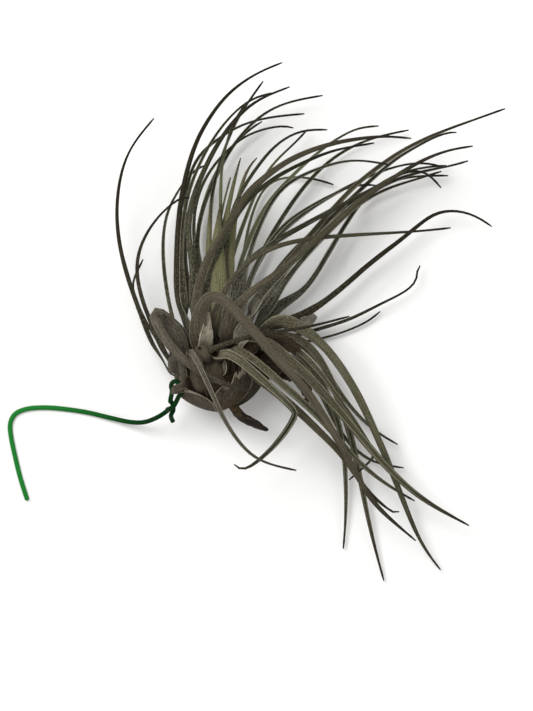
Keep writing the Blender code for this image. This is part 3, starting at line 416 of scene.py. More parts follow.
LEAFY_LOBES = ("ear", "velvet", "silver")   # finishes of those that are still leaf

# Broad dry leaf that curls off the right side of the bulb
DRY_FLAP = [(4, -20, 15.5), (11, -19.4, 17.4), (16, -20, 17.6), (19.6, -23.2, 16.8),
    (21.6, -27.5, 15.6), (22, -31.4, 13.8)]
DRY_FLAP_HALVES = (1.2, 2.2, 2.8, 2.6, 2.2, 0.6)
DRY_FLAP_DROPS = (0.5, 1.0, 1.5, 1.5, 1.2, 0.4)
DRY_FLAP_RAGGEDNESS = 0.35


# ------------------------------ finishes

def tint(levels):
    """A colour from its display values, which go from 0 to 255."""
    shares = [level / 255 for level in levels]
    return (*(s / 12.92 if s <= 0.04045 else ((s + 0.055) / 1.055) ** 2.4 for s in shares), 1.0)


class Value:
    """A shader socket that takes part in plain arithmetic."""

    def __init__(self, finish, socket):
        self.finish = finish
        self.socket = socket

    def math(self, operation, first, second):
        return self.finish.node("Math", {0: first, 1: second}, operation=operation)

    def __add__(self, other):
        return self.math("ADD", self, other)

    def __sub__(self, other):
        return self.math("SUBTRACT", self, other)

    def __rsub__(self, other):
        return self.math("SUBTRACT", other, self)

    def __mul__(self, other):
        return self.math("MULTIPLY", self, other)

    __radd__ = __add__
    __rmul__ = __mul__


class Finish:
    """A procedural material and the nodes that it is made from."""

    def __init__(self, name, sheen=0.0, specular=0.3):
        self.material = bpy.data.materials.new(name)
        self.material.use_nodes = True
        self.tree = self.material.node_tree
        self.shader = self.tree.nodes["Principled BSDF"]
        self.shader.inputs["Sheen Weight"].default_value = sheen
        self.shader.inputs["Sheen Roughness"].default_value = 0.6
        self.shader.inputs["Specular IOR Level"].default_value = specular

    def node(self, kind, sockets=None, output=0, **settings):
        made = self.tree.nodes.new("ShaderNode" + kind)
        for key, value in settings.items():
            setattr(made, key, value)
        for key, value in (sockets or {}).items():
            if isinstance(value, Value):
                self.tree.links.new(value.socket, made.inputs[key])
            else:
                made.inputs[key].default_value = value
        return Value(self, made.outputs[output])

    def parts(self, vector):
        """The three components of a vector."""
        made = self.node("SeparateXYZ", {0: vector})
        return [Value(self, socket) for socket in made.socket.node.outputs]

    def attribute(self, name):
        return self.parts(self.node("Attribute", output=1, attribute_name=name))

    def place(self):
        """Object coordinates, in metres."""
        return self.node("TexCoord", output=3)

    def vector(self, x, y, z):
        return self.node("CombineXYZ", {0: x, 1: y, 2: z})

    def noise(self, vector, scale, detail=2.0, roughness=0.5):
        return self.node("TexNoise", {"Vector": vector, "Scale": scale,
            "Detail": detail, "Roughness": roughness})

    def step(self, value, low, high):
        """Smooth step from 0 at low to 1 at high."""
        return self.node("MapRange", {0: value, 1: low, 2: high},
            interpolation_type="SMOOTHSTEP")

    def marks(self, vector, scale, low, high, detail=2.0, roughness=0.5):
        """Noise cut to separate marks: 0 below low and 1 above high."""
        return self.step(self.noise(vector, scale, detail, roughness), low, high)

    def mix(self, factor, first, second):
        """Colour that goes from first to second, which may be given as display values."""
        ends = [end if isinstance(end, Value) else tint(end) for end in (first, second)]
        return self.node("Mix", {0: factor, 6: ends[0], 7: ends[1]}, 2,
            data_type="RGBA")

    def done(self, colour, roughness, height, distance, strength):
        """The material with its colour, roughness and relief, whose depth is in metres."""
        normal = self.node("Bump", {"Height": height, "Distance": distance,
            "Strength": strength})
        for name, value in (("Base Color", colour), ("Roughness", roughness), ("Normal", normal)):
            self.tree.links.new(value.socket, self.shader.inputs[name])
        return self.material


def leaf_finish(name, brown, green, shade, scale_grey, root, tip, cover, grain=0.12,
        scurf_reach=(30.0, 95.0), tip_reach=(0.75, 1.12)):
    """Blade under a coat of pale trichome scales that wears off towards the tip.

    The place attribute holds millimetres across and along the leaf and the share of its
    length; the trim attribute holds nearness to the margin, greenness and the leaf's own
    number, which shifts its patterns. The scurf wears off over scurf_reach, in millimetres
    from the root, down to the share called grain, and the tip's colour sets in over
    tip_reach, in shares of the length.
    """
    f = Finish(name, specular=0.12)
    across, along, share = f.attribute("place")
    margin, greenness, own = f.attribute("trim")
    spot = f.place()
    veins = f.marks(f.vector(across * 2.2, along * 0.07, own * 9), 1.0, 0.38, 0.64)
    streaks = f.marks(f.vector(across * 2.6, along * 0.09, own * 5 + 3), 1.0, 0.5, 0.66, 3.0)
    flecks = f.marks(f.vector(across * 2.3, along * 1.3, own * 7), 1.0, 0.44, 0.62, 3.0, 0.7)
    fuzz = f.marks(spot, 2200.0, 0.45, 0.62, 2.0, 0.6)
    patches = f.noise(spot, 120.0)
    near_root = 1.0 - f.step(along + patches * 16.0, 8.0, 40.0)
    scurfy = 1.0 - f.step(along + patches * 24.0, *scurf_reach)
    colour = f.mix(greenness * f.step(share, 0.05, 0.4), brown, green)
    colour = f.mix(near_root * 0.7, colour, root)
    colour = f.mix(veins * 0.6, colour, shade)
    colour = f.mix(f.step(share + patches * 0.25, *tip_reach), colour, tip)
    coat = (1.0 - f.step(share, 0.2, 0.85)) * (0.1 + greenness * 0.9) * cover
    salt = flecks * (0.6 + fuzz * 0.4) * (grain + scurfy * (0.9 - grain)) * cover
    colour = f.mix(salt * (0.3 + greenness * 0.7), colour, scale_grey)
    colour = f.mix(streaks * coat * 0.5, colour, scale_grey)
    rim = f.step(margin, 0.86, 0.97) * (1.0 - f.step(share, 0.7, 1.0))
    colour = f.mix(rim * (0.5 + flecks * 0.4) * (0.4 + greenness * 0.6), colour, scale_grey)
    roughness = 0.92 - veins * 0.2 - f.step(share, 0.6, 1.0) * 0.2
    return f.done(colour, roughness, flecks * 0.5 + fuzz * 0.4 - veins * 0.6, 0.00018, 0.9)


def sheath_finish(name, pale, grey, dark, rim, root=None, shaded_side=0.0):
    """Papery dry sheath with a pale rim, fine ribs and brown weathering.

    The root tint covers the sheath's first millimetres; the last argument lays painted shade over
    its right half.
    """
    f = Finish(name, specular=0.12)
    across, along, _ = f.attribute("place")
    margin, _, own = f.attribute("trim")
    spot = f.place()
    ribs = f.marks(f.vector(across * 1.3, along * 0.08, own * 9), 1.0, 0.3, 0.7, 3.0)
    fuzz = f.marks(spot, 2000.0, 0.45, 0.62, 3.0, 0.6)
    stains = f.marks(spot, 190.0, 0.42, 0.62, 4.0, 0.6)
    blotches = f.marks(spot, 640.0, 0.5, 0.62, 3.0, 0.6)
    colour = f.mix(ribs, grey, pale)
    colour = f.mix(stains * 0.6, colour, dark)
    colour = f.mix(blotches * 0.3, colour, dark)
    colour = f.mix(fuzz * 0.25, colour, rim)
    # Painted shade: the right half of the sheath darker, by the share of the last argument
    colour = f.mix((1.0 - f.step(across, -9.0, 2.0)) * shaded_side, colour, dark)
    colour = f.mix((1.0 - f.step(along, 0.0, 12.0 if root else 6.0)) * 0.8, colour,
        root or dark)
    colour = f.mix(f.step(margin, 0.9, 0.99) * 0.75, colour, rim)
    relief = ribs * 0.6 + fuzz * 0.3 - blotches * 0.3
    return f.done(colour, 0.95 - ribs * 0.15, relief, 0.0002, 0.9)


def bark_finish(name, dark, brown, ridge, ochre):
    """Old stem wood: dark fibres with cracks, pale ridges and an ochre bare strip."""
    f = Finish(name)
    across, along, share = f.attribute("place")
    spot = f.place()
    fibres = f.noise(f.vector(across * 2.2, along * 0.25, 0.0), 1.0, 4.0, 0.6)
    lumps = f.noise(spot, 420.0, 4.0, 0.6)
    colour = f.mix(f.step(fibres, 0.35, 0.65), dark, brown)
    colour = f.mix(f.step(fibres, 0.56, 0.66) * 0.6, colour, ridge)
    bare = f.step(lumps, 0.35, 0.6) * (1.0 - f.step(share, 0.25, 0.5))
    colour = f.mix(bare, colour, ochre)
    colour = f.mix(f.step(share, 0.86, 0.95), colour, dark)
    return f.done(colour, 0.75 + lumps * 0.2, fibres * 0.7 + lumps * 0.5, 0.0004, 0.9)


def wire_finish(name, bright, shaded_green, scuffed):
    """Plastic-coated wire with fine scuffs, darker near the plant by painted shade."""
    f = Finish(name, specular=0.06)
    spot = f.place()
    scuffs = f.marks(spot, 900.0, 0.5, 0.7, 4.0, 0.7)
    waves = f.noise(spot, 120.0)
    # Painted shade: the green darkens from x = -90 mm to -35 mm, towards the plant
    colour = f.mix(f.step(f.parts(spot)[0] + waves * 0.01, -0.09, -0.035), bright, shaded_green)
    colour = f.mix(scuffs * 0.04, colour, scuffed)
    return f.done(colour, 0.5 + scuffs * 0.25, scuffs * 0.3 + waves, 0.0001, 0.4)


def hair_finish(name, dark, pale):
    """Pale, slightly silky hairs."""
    f = Finish(name, sheen=0.2)
    tone = f.noise(f.place(), 300.0)
    return f.done(f.mix(tone, dark, pale), 0.9 - tone * 0.1, tone, 0.00005, 0.3)


def floor_finish(name, pale, grey):
    f = Finish(name, specular=0.2)
    grain = f.noise(f.place(), 60.0, 3.0)
    return f.done(f.mix(grain * 0.3, pale, grey), 0.85 + grain * 0.1, grain, 0.0001, 0.1)


# ------------------------------ routes

def curve_point(a, b, c, d, t):
    """Catmull-Rom curve at the share t of the way from b to c."""
    return 0.5 * (2 * b + (c - a) * t + (2 * a - 5 * b + 4 * c - d) * t ** 2
        + (3 * b - a - 3 * c + d) * t ** 3)


def smooth_route(points):
    """Smooth curve through the points, with the same steps to each span."""
    points = [Vector(p) for p in points]
    padded = [2 * points[0] - points[1], *points, 2 * points[-1] - points[-2]]
    route = []
    for near in zip(padded, padded[1:], padded[2:], padded[3:]):
        route += [curve_point(*near, step / CURVE_STEPS) for step in range(CURVE_STEPS)]
    return [*route, points[-1]]


def profile(values, share):
    """Value at a share of the way along an evenly spaced list, smoothly joined."""
    place = share * (len(values) - 1)
    first = min(int(place), len(values) - 2)
    near = [values[min(max(first + k, 0), len(values) - 1)] for k in (-1, 0, 1, 2)]
    return curve_point(*near, place - first)


def spaced(route, shares):
    """Points of a polyline at the given shares of its length, and that length."""
    reach = [0.0]
    for a, b in zip(route, route[1:]):
        reach.append(reach[-1] + (b - a).length)
    found = []
    span = 0
    for share in shares:
        goal = share * reach[-1]
        while span < len(route) - 2 and reach[span + 1] < goal:
            span += 1
        part = (goal - reach[span]) / (reach[span + 1] - reach[span])
        found.append(route[span].lerp(route[span + 1], part))
    return found, reach[-1]


def ease(value, low, high):
    """Smooth step from 0 at low to 1 at high."""
    share = min(max((value - low) / (high - low), 0.0), 1.0)
    return share * share * (3 - 2 * share)


def over_radii(direction):
    """Direction with each part divided by the crown's radius that way."""
    return Vector([d / r for d, r in zip(direction, CROWN_RADII)])


def squared(along, upper):
    """Across, upper and along directions, each square to the others."""
    upper = (upper - along * upper.dot(along)).normalized()
    return along.cross(upper), upper, along


class Spine:
    """Stations along a route, each with its place and its across, upper and along directions."""

    def __init__(self, route, upper, crowding=1.0, spacing=STATION_SPACING, fewest=12):
        length = spaced(route, [0.0])[1]
        self.count = max(fewest, round(length / spacing))
        self.shares = [(i / self.count) ** crowding for i in range(self.count + 1)]
        self.centres, self.length = spaced(route, self.shares)
        self.frames = []
        for i in range(self.count + 1):
            before = self.centres[max(i - 1, 0)]
            after = self.centres[min(i + 1, self.count)]
            self.frames.append(squared((after - before).normalized(), upper))
            upper = self.frames[-1][1]

    def at(self, row):
        """Share and length of the route so far, place, and the three directions."""
        share = self.shares[row]
        return (share, share * self.length, self.centres[row], *self.frames[row])


def leaf_spine(route_points, shows_back=False):
    """Spine of a leaf that starts on the crown below the first point of its route."""
    neck = Vector(route_points[0])
    outward = (neck - CROWN_CENTRE).normalized()
    seat = 1.0 / over_radii(outward).length + SEAT_GAP
    root = CROWN_CENTRE + outward * seat
    first_run = CROWN_CENTRE + outward * (seat + ROOT_RUN)
    start = [root] if (neck - first_run).dot(outward) < ROOT_RUN else [root, first_run]
    route = smooth_route([*start, *route_points])
    for _ in range(SMOOTHING_PASSES):
        route = [route[0], *((a + 2 * b + c) / 4 for a, b, c in zip(route, route[1:], route[2:])),
            route[-1]]
    spine = Spine(route, GROWTH_AXIS - outward, STATION_CROWDING, fewest=FEWEST_STATIONS)
    shows_back = shows_back or spine.frames[0][1].z < BACK_LIMIT
    facing = -UP if shows_back else UP
    for row, share in enumerate(spine.shares):
        _, upper, along = spine.frames[row]
        upper = upper.lerp(facing, FACING * ease(share, 0.02, 0.2))
        spine.frames[row] = squared(along, upper)
    return spine


# ------------------------------ meshes

def link(name, data):
    """Object of the given data, linked to the scene."""
    made = bpy.data.objects.new(name, data)
    bpy.context.scene.collection.objects.link(made)
    return made


def mesh_object(name, mesh, material, smooth=True):
    """Object made from a bmesh, which is freed."""
    data = bpy.data.meshes.new(name)
    mesh.to_mesh(data)
    mesh.free()
    for face in data.polygons:
        face.use_smooth = smooth
    data.materials.append(material)
    return link(name, data)


def plant_piece(piece, node=None):
    """Hangs a piece on the plant's body and hides the CAD node that it stands for, if one is
    given.
    """
    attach(piece, "root")
    if node:
        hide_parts(node)


class Sheet:
    """A mesh of grid sheets, with the attributes that the finishes read."""

    def __init__(self):
        self.mesh = bmesh.new()
        self.place = self.mesh.verts.layers.float_vector.new("place")
        self.trim = self.mesh.verts.layers.float_vector.new("trim")
        self.weight = self.mesh.verts.layers.deform.verify()

    def add(self, columns, rows, point, closed=False):
        """Adds a grid; point(across, row) gives position, place, trim and thickness share."""
        made = bmesh.ops.create_grid(self.mesh, x_segments=columns, y_segments=rows, size=1.0)
        for vert in made["verts"]:
            row = round((vert.co.y + 1) / 2 * rows)
            position, place, trim, weight = point(vert.co.x, row)
            vert.co = position * MM
            vert[self.place] = place
            vert[self.trim] = trim
            vert[self.weight][0] = weight
        if closed:
            bmesh.ops.remove_doubles(self.mesh, verts=made["verts"], dist=0.00001)
        return self

    def piece(self, name, slot, finish, thickness=None, node=None):
        """Makes the finished piece; its wall is as thick as the thickness shares say."""
        piece = mesh_object(name, self.mesh, FINISHES[finish])
        if thickness:
            piece.vertex_groups.new(name="body")
            wall = piece.modifiers.new("Wall", "SOLIDIFY")
            wall.thickness = thickness * MM
            wall.offset = 0.0
            wall.vertex_group = "body"
        plant_piece(piece, node)


def add_blade(sheet, width, sheath, spine, greenness, own, roll):
    """Channelled blade along a spine; sheath is its flare, widest place and spread."""
    flare, peak, spread = sheath

    def point(across, row):
        share, reach, centre, aside, upper, _ = spine.at(row)
        widening = (1.0 + flare * math.exp(-((reach - peak) / spread) ** 2)
            + BASE_FLARE * math.exp(-(reach / BASE_REACH) ** 2))
        half = max(0.5 * width * (1.0 - share) ** TAPER_POWER * widening, TIP_HALF_WIDTH)
        uneven = noise.noise(Vector((reach * 0.11, across * 0.8, own)))
        half *= (1.0 + WIDTH_WAVE * uneven) * (1.0 - 0.5 * ease(share, 0.985, 1.0))
        open_angle = SHEATH_ROLL + (roll - SHEATH_ROLL) * ease(share, 0.08, 0.5)
        radius = half / math.sin(min(open_angle, math.pi / 2))
        turn = across * open_angle
        rise = radius * (1 - math.cos(turn)) * CHANNEL_SQUASH
        rise += MARGIN_WAVE * uneven * abs(across) * min(half, 1.0)
        position = centre + aside * radius * math.sin(turn) + upper * rise
        thickness = (1.0 - (1.0 - MARGIN_THINNING) * across ** 2) * min(1.0, 0.3 + half / 1.4)
        return (position, (turn * radius, reach, share), (abs(across), greenness, own % 1.0),
            thickness)
    return sheet.add(BLADE_COLUMNS, spine.count, point)


def add_rod(sheet, route, upper, radii, own=0.0, lumps=0.0, rounding=STEM_ROUNDING,
        columns=STEM_COLUMNS, spacing=STEM_SPACING):
    """Round rod along a route, closed at both ends, with lumps of the given height."""
    spine = Spine(route, upper, spacing=spacing)

    def point(across, row):
        share, reach, centre, aside, upper, _ = spine.at(row)
        turn = math.pi * across
        outward = aside * math.cos(turn) + upper * math.sin(turn)
        place = share * (len(radii) - 1)
        before = min(int(place), len(radii) - 2)
        radius = radii[before] + (radii[before + 1] - radii[before]) * (place - before)
        past = max(0.0, share - 1.0 + rounding) / rounding if rounding else 0.0
        dome = math.sqrt(max(1.0 - past ** 2, 0.0))
        radius *= dome if 0 < row < spine.count else 0.0
        position = centre + outward * radius
        if radius:
            height = lumps * noise.noise(position * 0.45 + Vector((own, 0, 0)))
            position += outward * height * dome
        return position, (turn * radius, reach, share), (0.0, 0.0, own % 1.0), 1.0
    return sheet.add(columns, spine.count, point, closed=True)


def crown_place(polar, turn, height):
    """Point over the crown; polar is from -Y and turn about +Y from +Z towards -X."""
    direction = Vector((-math.sin(polar) * math.sin(turn), -math.cos(polar),
        math.sin(polar) * math.cos(turn)))
    outward = over_radii(direction).normalized()
    return CROWN_CENTRE + direction * CROWN_RADII + outward * height


def add_scale(sheet, azimuth, spread, low, high, lift, own, seat=SEAT_GAP, curl=SCALE_CURL,
        slants=(0, 0)):
    """Spoon-shaped scale that hugs the crown and stands off it at its free end."""
    def point(across, row):
        along = row / SCALE_ROWS
        uneven = noise.noise(Vector((across * 1.7, along * 2.3, own)))
        tear = noise.noise(Vector((across * 6.0, own, 4.0)))
        reach = along * (1.0 + SCALE_RAGGEDNESS * tear * along ** 3)
        narrowing = math.sqrt(max(1.0 - along ** 4, SCALE_TIP ** 2))
        narrowing *= 0.8 + 0.2 * ease(along, 0.0, 0.4)
        turn = math.radians(azimuth + across * spread * narrowing * (1 + 0.06 * uneven))
        start, end = low + slants[0] * across, high + slants[1] * across
        polar = math.radians(start + (end - start) * reach)
        height = seat + lift * along ** 3 + curl * abs(across) ** 3 * along + 0.35 * uneven * along
        position = crown_place(polar, turn, height)
        position.z = max(position.z, FLOOR_GAP)
        half = math.radians(spread) * CROWN_RADII.x * narrowing
        length = math.radians(high - low) * CROWN_RADII.y
        edge = max(abs(across), ease(along, 0.55, 1.0))
        return (position, (across * half, along * length, along), (edge, 0.0, own % 1.0),
            1.0 - 0.55 * edge ** 3)
    return sheet.add(SCALE_COLUMNS, SCALE_ROWS, point)


def add_lobe(sheet, route, halves, drops, upper, own, ragged):
    """Free-standing sheath along a route, domed to its upper side where drops are above 0."""
    spine = Spine(smooth_route(route), Vector(upper), spacing=LOBE_SPACING)

    def point(across, row):
        share, reach, centre, aside, up, along = spine.at(row)
        uneven = noise.noise(Vector((reach * 0.2, across * 1.5, own)))
        torn = noise.noise(Vector((reach * 0.9, across * 4.0, own + 5)))
        half = max(profile(halves, share), 0.15) * (1.0 + 0.1 * uneven)
        half *= 1.0 + ragged * torn * abs(across) ** 3
        drop = profile(drops, share) * (1.0 - math.sqrt(max(1.0 - (0.95 * across) ** 2, 0.0)))
        stretch = ragged * 3.0 * torn * ease(share, 0.7, 1.0)
        position = (centre + aside * across * half + along * stretch
            - up * (drop - 0.25 * uneven))
        edge = max(abs(across), ease(share, 0.85, 1.0))
        return (position, (across * half, reach, share), (edge, 0.3, own % 1.0),
            1.0 - 0.6 * edge ** 3)
    return sheet.add(LOBE_COLUMNS, spine.count, point)


# ------------------------------ the plant

# Colours as display values: a leaf's brown, green, veins, scales, root and tip, and how well
# the scales cover it; a sheath's pale and grey paper, weathered dark (also used for painted
# shade), rim and sometimes root
DROOPING_TINTS = ((78, 71, 55), (86, 84, 63), (42, 38, 25), (158, 155, 132), (72, 64, 50))
FINISHES = {
    "leaf": leaf_finish("leaf_scurfy", (40, 33, 22), (52, 53, 35), (27, 24, 14),
        (144, 142, 121), (48, 45, 31), (28, 21, 14), 0.85),
    "silvered": leaf_finish("leaf_silvered", (46, 41, 30), (46, 46, 30), (28, 26, 16),
        (176, 173, 156), (122, 118, 100), (28, 21, 14), 0.9, 0.08, (20.0, 62.0)),
    "young": leaf_finish("leaf_young_green", (98, 99, 76), (104, 108, 80), (60, 62, 40),
        (156, 156, 134), (76, 75, 51), (38, 32, 24), 0.6),
    "velvet": leaf_finish("leaf_velvet", (72, 64, 51), (67, 65, 49), (50, 43, 32),
        (146, 140, 122), (80, 72, 59), (28, 21, 14), 0.4, 0.2),
    # Its root tint, over the first 40 mm, is the arch's brown darkened further by painted shade on
    # its left limb
    "arching": leaf_finish("arching_leaf_velvet", (70, 62, 49), (92, 86, 71), (54, 47, 36),
        (148, 142, 124), (48, 41, 29), (32, 26, 18), 0.4, 0.3),
    "ear": leaf_finish("folded_leaf_velvet", (82, 76, 64), (82, 77, 65), (54, 48, 38),
        (156, 151, 138), (62, 56, 45), (40, 33, 26), 0.5, 0.35),
    "drooping": leaf_finish("drooping_leaf_velvet", *DROOPING_TINTS, (34, 26, 18), 0.6, 0.5),
    "turned": leaf_finish("drooping_leaf_dark_back", *DROOPING_TINTS, (44, 39, 29), 0.5, 0.5,
        tip_reach=(0.62, 0.72)),
    "silver": leaf_finish("silvery_scurf", (100, 96, 82), (100, 96, 82), (70, 64, 52),
        (178, 176, 162), (96, 92, 78), (80, 74, 62), 0.9, 0.9),
    "heart": leaf_finish("heart_leaf_green", (114, 112, 78), (120, 119, 84), (76, 75, 43),
        (172, 172, 146), (100, 96, 76), (64, 58, 44), 0.6, 0.4),
    "dry": sheath_finish("dry_sheath_paper", (86, 79, 68), (66, 58, 47), (36, 28, 20),
        (138, 130, 114)),
    # Its last value, 0.7, lays painted shade over the right half of the sheath
    "mottled": sheath_finish("mottled_sheath_paper", (84, 77, 64), (52, 44, 33), (24, 17, 10),
        (142, 134, 116), (66, 52, 31), 0.7),
    "brown": sheath_finish("brown_sheath_paper", (57, 48, 36), (36, 28, 20), (16, 11, 6),
        (98, 87, 68)),
    "pale": sheath_finish("pale_sheath_paper", (122, 118, 108), (102, 98, 88), (72, 66, 56),
        (146, 142, 132)),
    "cream": sheath_finish("cream_sheath_paper", (160, 154, 138), (116, 110, 95), (80, 72, 58),
        (176, 170, 154)),
    "bark": bark_finish("old_stem_bark", (15, 9, 5), (40, 30, 20), (96, 84, 66), (74, 58, 32)),
    # The wire's second colour is painted shade where it runs near the plant
    "wire": wire_finish("green_coated_wire", (26, 114, 40), (2, 42, 8), (96, 140, 96)),
    "hair": hair_finish("trichome_hair", (84, 79, 66), (140, 135, 118)),
    "floor": floor_finish("pale_floor", (246, 246, 245), (238, 238, 237)),
}


def own_number(kind, index=0):
    """Number that shifts the patterns of one piece of its kind."""
    first, step = OWN_NUMBERS[kind]
    return index * step + first


def leaf_hairs(spine, width, flare):
    """Spots, directions and lengths of the trichome hairs on both margins of a leaf."""
    spots = []
    for row in range(1, spine.count):
        share, reach, centre, aside, upper, along = spine.at(row)
        if share > HAIRY_SHARE:
            break
        half = 0.5 * width * (1.0 - share) ** TAPER_POWER
        half *= 1.0 + flare * math.exp(-((reach - SHEATH_PEAK) / SHEATH_SPREAD) ** 2)
        for side in (-1, 1):
            for _ in range(HAIRS_AT_STATION):
                where = centre + along * random.uniform(-1.0, 1.0)
                where += aside * side * half * 0.97 + upper * random.uniform(0.1, 0.6) * half
                lean = (aside * side + along * random.uniform(0.3, 1.2)
                    + upper * random.uniform(-0.5, 0.8)).normalized()
                spots.append((where, lean, random.uniform(*HAIR_LENGTHS)))
    return spots


def build_leaves():
    """One blade for each leaf. Returns the trichome hairs by group."""
    random.seed(RANDOM_SEED)
    hairs = {group: [] for group in LEAF_GROUPS}
    leaves = [(group, number, *leaf) for group, members in LEAF_GROUPS.items()
        for number, leaf in enumerate(members, 1)]
    for index, (group, number, width, flare, route) in enumerate(leaves):
        key = "front_arch" if group == "front" else f"{group}_{number:02}"
        spine = leaf_spine(route, key in BACK_LEAVES)
        greenness = BROWN_GREENNESS if key in BROWN_LEAVES else random.uniform(*LEAF_GREENNESS)
        width *= WIDTH_GAINS.get(key, WIDTH_GAINS[group])
        sheath = SHEATH_SHAPES.get(key, (flare, SHEATH_PEAK, SHEATH_SPREAD))
        drooping = group in ("drooping", "front")
        finish = "drooping" if drooping else "leaf"
        for special, keys in LEAF_FINISHES.items():
            finish = special if key in keys else finish
        blade = add_blade(Sheet(), width, sheath, spine, greenness, own_number("leaf", index),
            DROOPING_ROLL if drooping else BLADE_ROLL)
        blade.piece(f"leaf_{key}_blade", "leaf", finish, BLADE_THICKNESS, f"leaf_{key}")
        hairs[group] += leaf_hairs(spine, width, flare)
    return hairs


def build_heart():
    sheet = Sheet()
    for index, (width, route) in enumerate(HEART_LEAVES):
        add_blade(sheet, width, HEART_SHEATH, leaf_spine(route), HEART_GREENNESS,
            own_number("heart", index), HEART_ROLL)
    sheet.piece("heart_leaf_blades", "heart_leaf", "heart", BLADE_THICKNESS, "heart_leaves")


def build_hairs(groups):
    """Short trichome hairs that fringe the leaves, one piece for each group."""
    for group, hairs in groups.items():
        fringe = bmesh.new()
        for start in range(0, len(hairs), HAIR_BATCH):
            batch = bmesh.new()
            for where, lean, length in hairs[start:start + HAIR_BATCH]:
                turn = lean.to_track_quat("Z", "Y").to_matrix().to_4x4()
                shift = Matrix.Translation((where + lean * length / 2) * MM)
                bmesh.ops.create_cone(batch, segments=3, radius1=HAIR_FOOT * MM,
                    radius2=HAIR_TIP * MM, depth=length * MM, matrix=shift @ turn)
            joined = bpy.data.meshes.new("batch")
            batch.to_mesh(joined)
            batch.free()
            fringe.from_mesh(joined)
            bpy.data.meshes.remove(joined)
        plant_piece(mesh_object(f"trichome_hairs_{group}", fringe, FINISHES["hair"], False))


def build_crown():
    mesh = bmesh.new()
    bmesh.ops.create_icosphere(mesh, subdivisions=5, radius=1.0)
    place = mesh.verts.layers.float_vector.new("place")
    for vert in mesh.verts:
        direction = vert.co.copy()
        lumps = CROWN_LUMPS * noise.fractal(direction * 4.0, 1.0, 2.0, 4)
        position = CROWN_CENTRE + direction * CROWN_RADII * (CROWN_SHRINK + lumps)
        position.z = max(position.z, 0.0)
        vert[place] = (direction.x * CROWN_RADII.x, direction.y * CROWN_RADII.x, 0.8)
        vert.co = position * MM
    plant_piece(mesh_object("crown_core", mesh, FINISHES["bark"]), "crown")

    stump = add_rod(Sheet(), smooth_route(STUMP_ROUTE), UP, STUMP_RADII, own_number("stump"),
        STUMP_LUMPS)
    stump.piece("old_stem_stump", "woody_crown", "bark")
    nub = add_rod(Sheet(), smooth_route([NUB_ROOT, NUB_TIP]), Vector((0, 1, 0)), NUB_RADII,
        own_number("nub"), NUB_LUMPS)
    nub.piece("side_shoot_nub", "dry_sheath", "dry")


def build_sheaths():
    for index, (name, *angles, lift, finish) in enumerate(OLD_SHEATHS):
        scale = add_scale(Sheet(), *angles, lift, own_number("old_sheath", index),
            OLD_SHEATH_SEAT, slants=SHEATH_SLANTS.get(name, (0, 0)))
        scale.piece(f"{name}_scale", "dry_sheath", finish, OLD_SHEATH_THICKNESS, name)
    flap = add_lobe(Sheet(), DRY_FLAP, DRY_FLAP_HALVES, DRY_FLAP_DROPS, (0.2, 0, 1),
        own_number("flap"), DRY_FLAP_RAGGEDNESS)
    flap.piece("dry_flap_blade", "dry_sheath", "brown", SHEATH_THICKNESS, "dry_flap")

    for index, (azimuth, lift, finish) in enumerate(COLLAR):
        scale = add_scale(Sheet(), azimuth, *COLLAR_ANGLES, lift, own_number("collar", index),
            curl=COLLAR_CURL)
        slot = "leaf" if finish == "leaf" else "dry_sheath"
        scale.piece(f"collar_sheath_{index + 1:02}", slot, finish, SHEATH_THICKNESS)
    for index, (*angles, lift, finish) in enumerate(BULB_SCALES):
        scale = add_scale(Sheet(), *angles, lift, own_number("bulb_scale", index),
            BULB_SCALE_SEAT)
        scale.piece(f"bulb_scale_{index + 1:02}", "dry_sheath", finish, SHEATH_THICKNESS)
    for index, (name, finish, upper, ragged, halves, drops, route) in enumerate(LOBES):
        lobe = add_lobe(Sheet(), route, halves, drops, upper, own_number("lobe", index), ragged)
        slot = "leaf" if finish in LEAFY_LOBES else "dry_sheath"
        lobe.piece(name, slot, finish, SHEATH_THICKNESS)


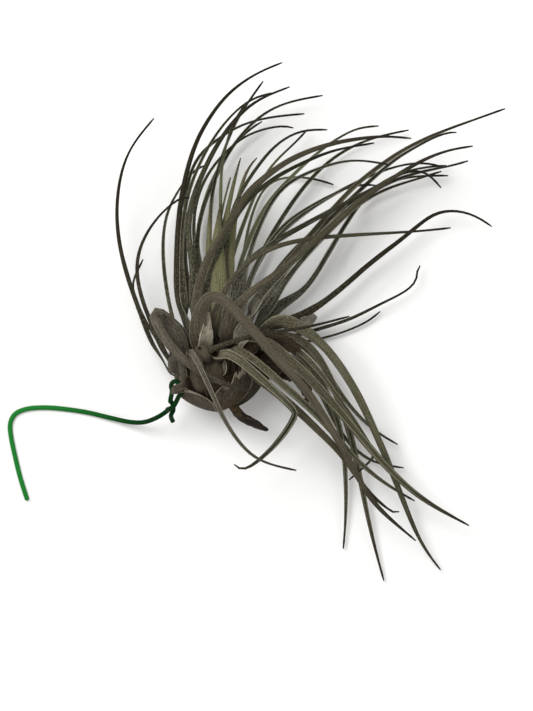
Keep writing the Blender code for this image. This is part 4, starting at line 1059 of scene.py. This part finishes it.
def wire_route():
    """Tail, twist, loop round the nub, twist again and the long arm with its hook."""
    axis = (TWIST_FOOT - TWIST_TOP).normalized()
    u = axis.cross(UP).normalized()
    w = axis.cross(u)

    def strand(side):
        points = []
        for i in range(TWIST_POINTS):
            share = i / (TWIST_POINTS - 1)
            angle = math.tau * TWIST_TURNS * share
            swing = u * math.cos(angle) + w * math.sin(angle)
            points.append(TWIST_TOP.lerp(TWIST_FOOT, share) + swing * side * STRAND_OFFSET)
        return points

    nub_axis = (NUB_TIP - NUB_ROOT).normalized()
    centre = NUB_ROOT.lerp(NUB_TIP, LOOP_SEAT)
    aside, down, _ = squared(nub_axis, TWIST_TOP - centre)
    loop = []
    for i in range(LOOP_POINTS):
        share = i / (LOOP_POINTS - 1)
        angle = -math.radians(LOOP_OPENING + (360 - 2 * LOOP_OPENING) * share)
        loop.append(centre + (down * math.cos(angle) + aside * math.sin(angle)) * LOOP_RADIUS)
    return [*WIRE_TAIL, *reversed(strand(1)), *loop, *strand(-1), *WIRE_ARM]


def build_wire():
    radius = 0.5 * WIRE_DIAMETER
    wire = add_rod(Sheet(), smooth_route(wire_route()), UP, (radius, radius), rounding=0,
        columns=WIRE_COLUMNS, spacing=WIRE_SPACING)
    wire.piece("hanger_wire_coated", "green_wire", "wire", node="hanger_wire")


def build_stage():
    floor_mesh = bmesh.new()
    bmesh.ops.create_grid(floor_mesh, x_segments=4, y_segments=4, size=FLOOR_HALF_SIDE)
    mesh_object("studio_floor", floor_mesh, FINISHES["floor"], False)

    scene = bpy.context.scene
    world = bpy.data.worlds.new("studio")
    world.use_nodes = True
    sky = world.node_tree.nodes["Background"].inputs
    sky["Color"].default_value = SKY_COLOUR
    sky["Strength"].default_value = SKY_STRENGTH
    scene.world = world
    for name, (place, size, power) in LIGHTS.items():
        light = bpy.data.lights.new(name, "AREA")
        light.size = size
        light.energy = power
        lamp = link(name, light)
        lamp.location = place
        lamp.rotation_euler = (-Vector(place)).to_track_quat("-Z", "Y").to_euler()

    camera = bpy.data.cameras.new("camera")
    camera.lens = LENS_LENGTH
    camera.sensor_width = SENSOR_WIDTH
    camera.clip_end = CLIP_END
    scene.camera = link("camera", camera)
    scene.camera.location = CAMERA_PLACE
    scene.view_settings.view_transform = "Standard"


hairs_by_group = build_leaves()
build_heart()
build_hairs(hairs_by_group)
build_crown()
build_sheaths()
build_wire()
build_stage()
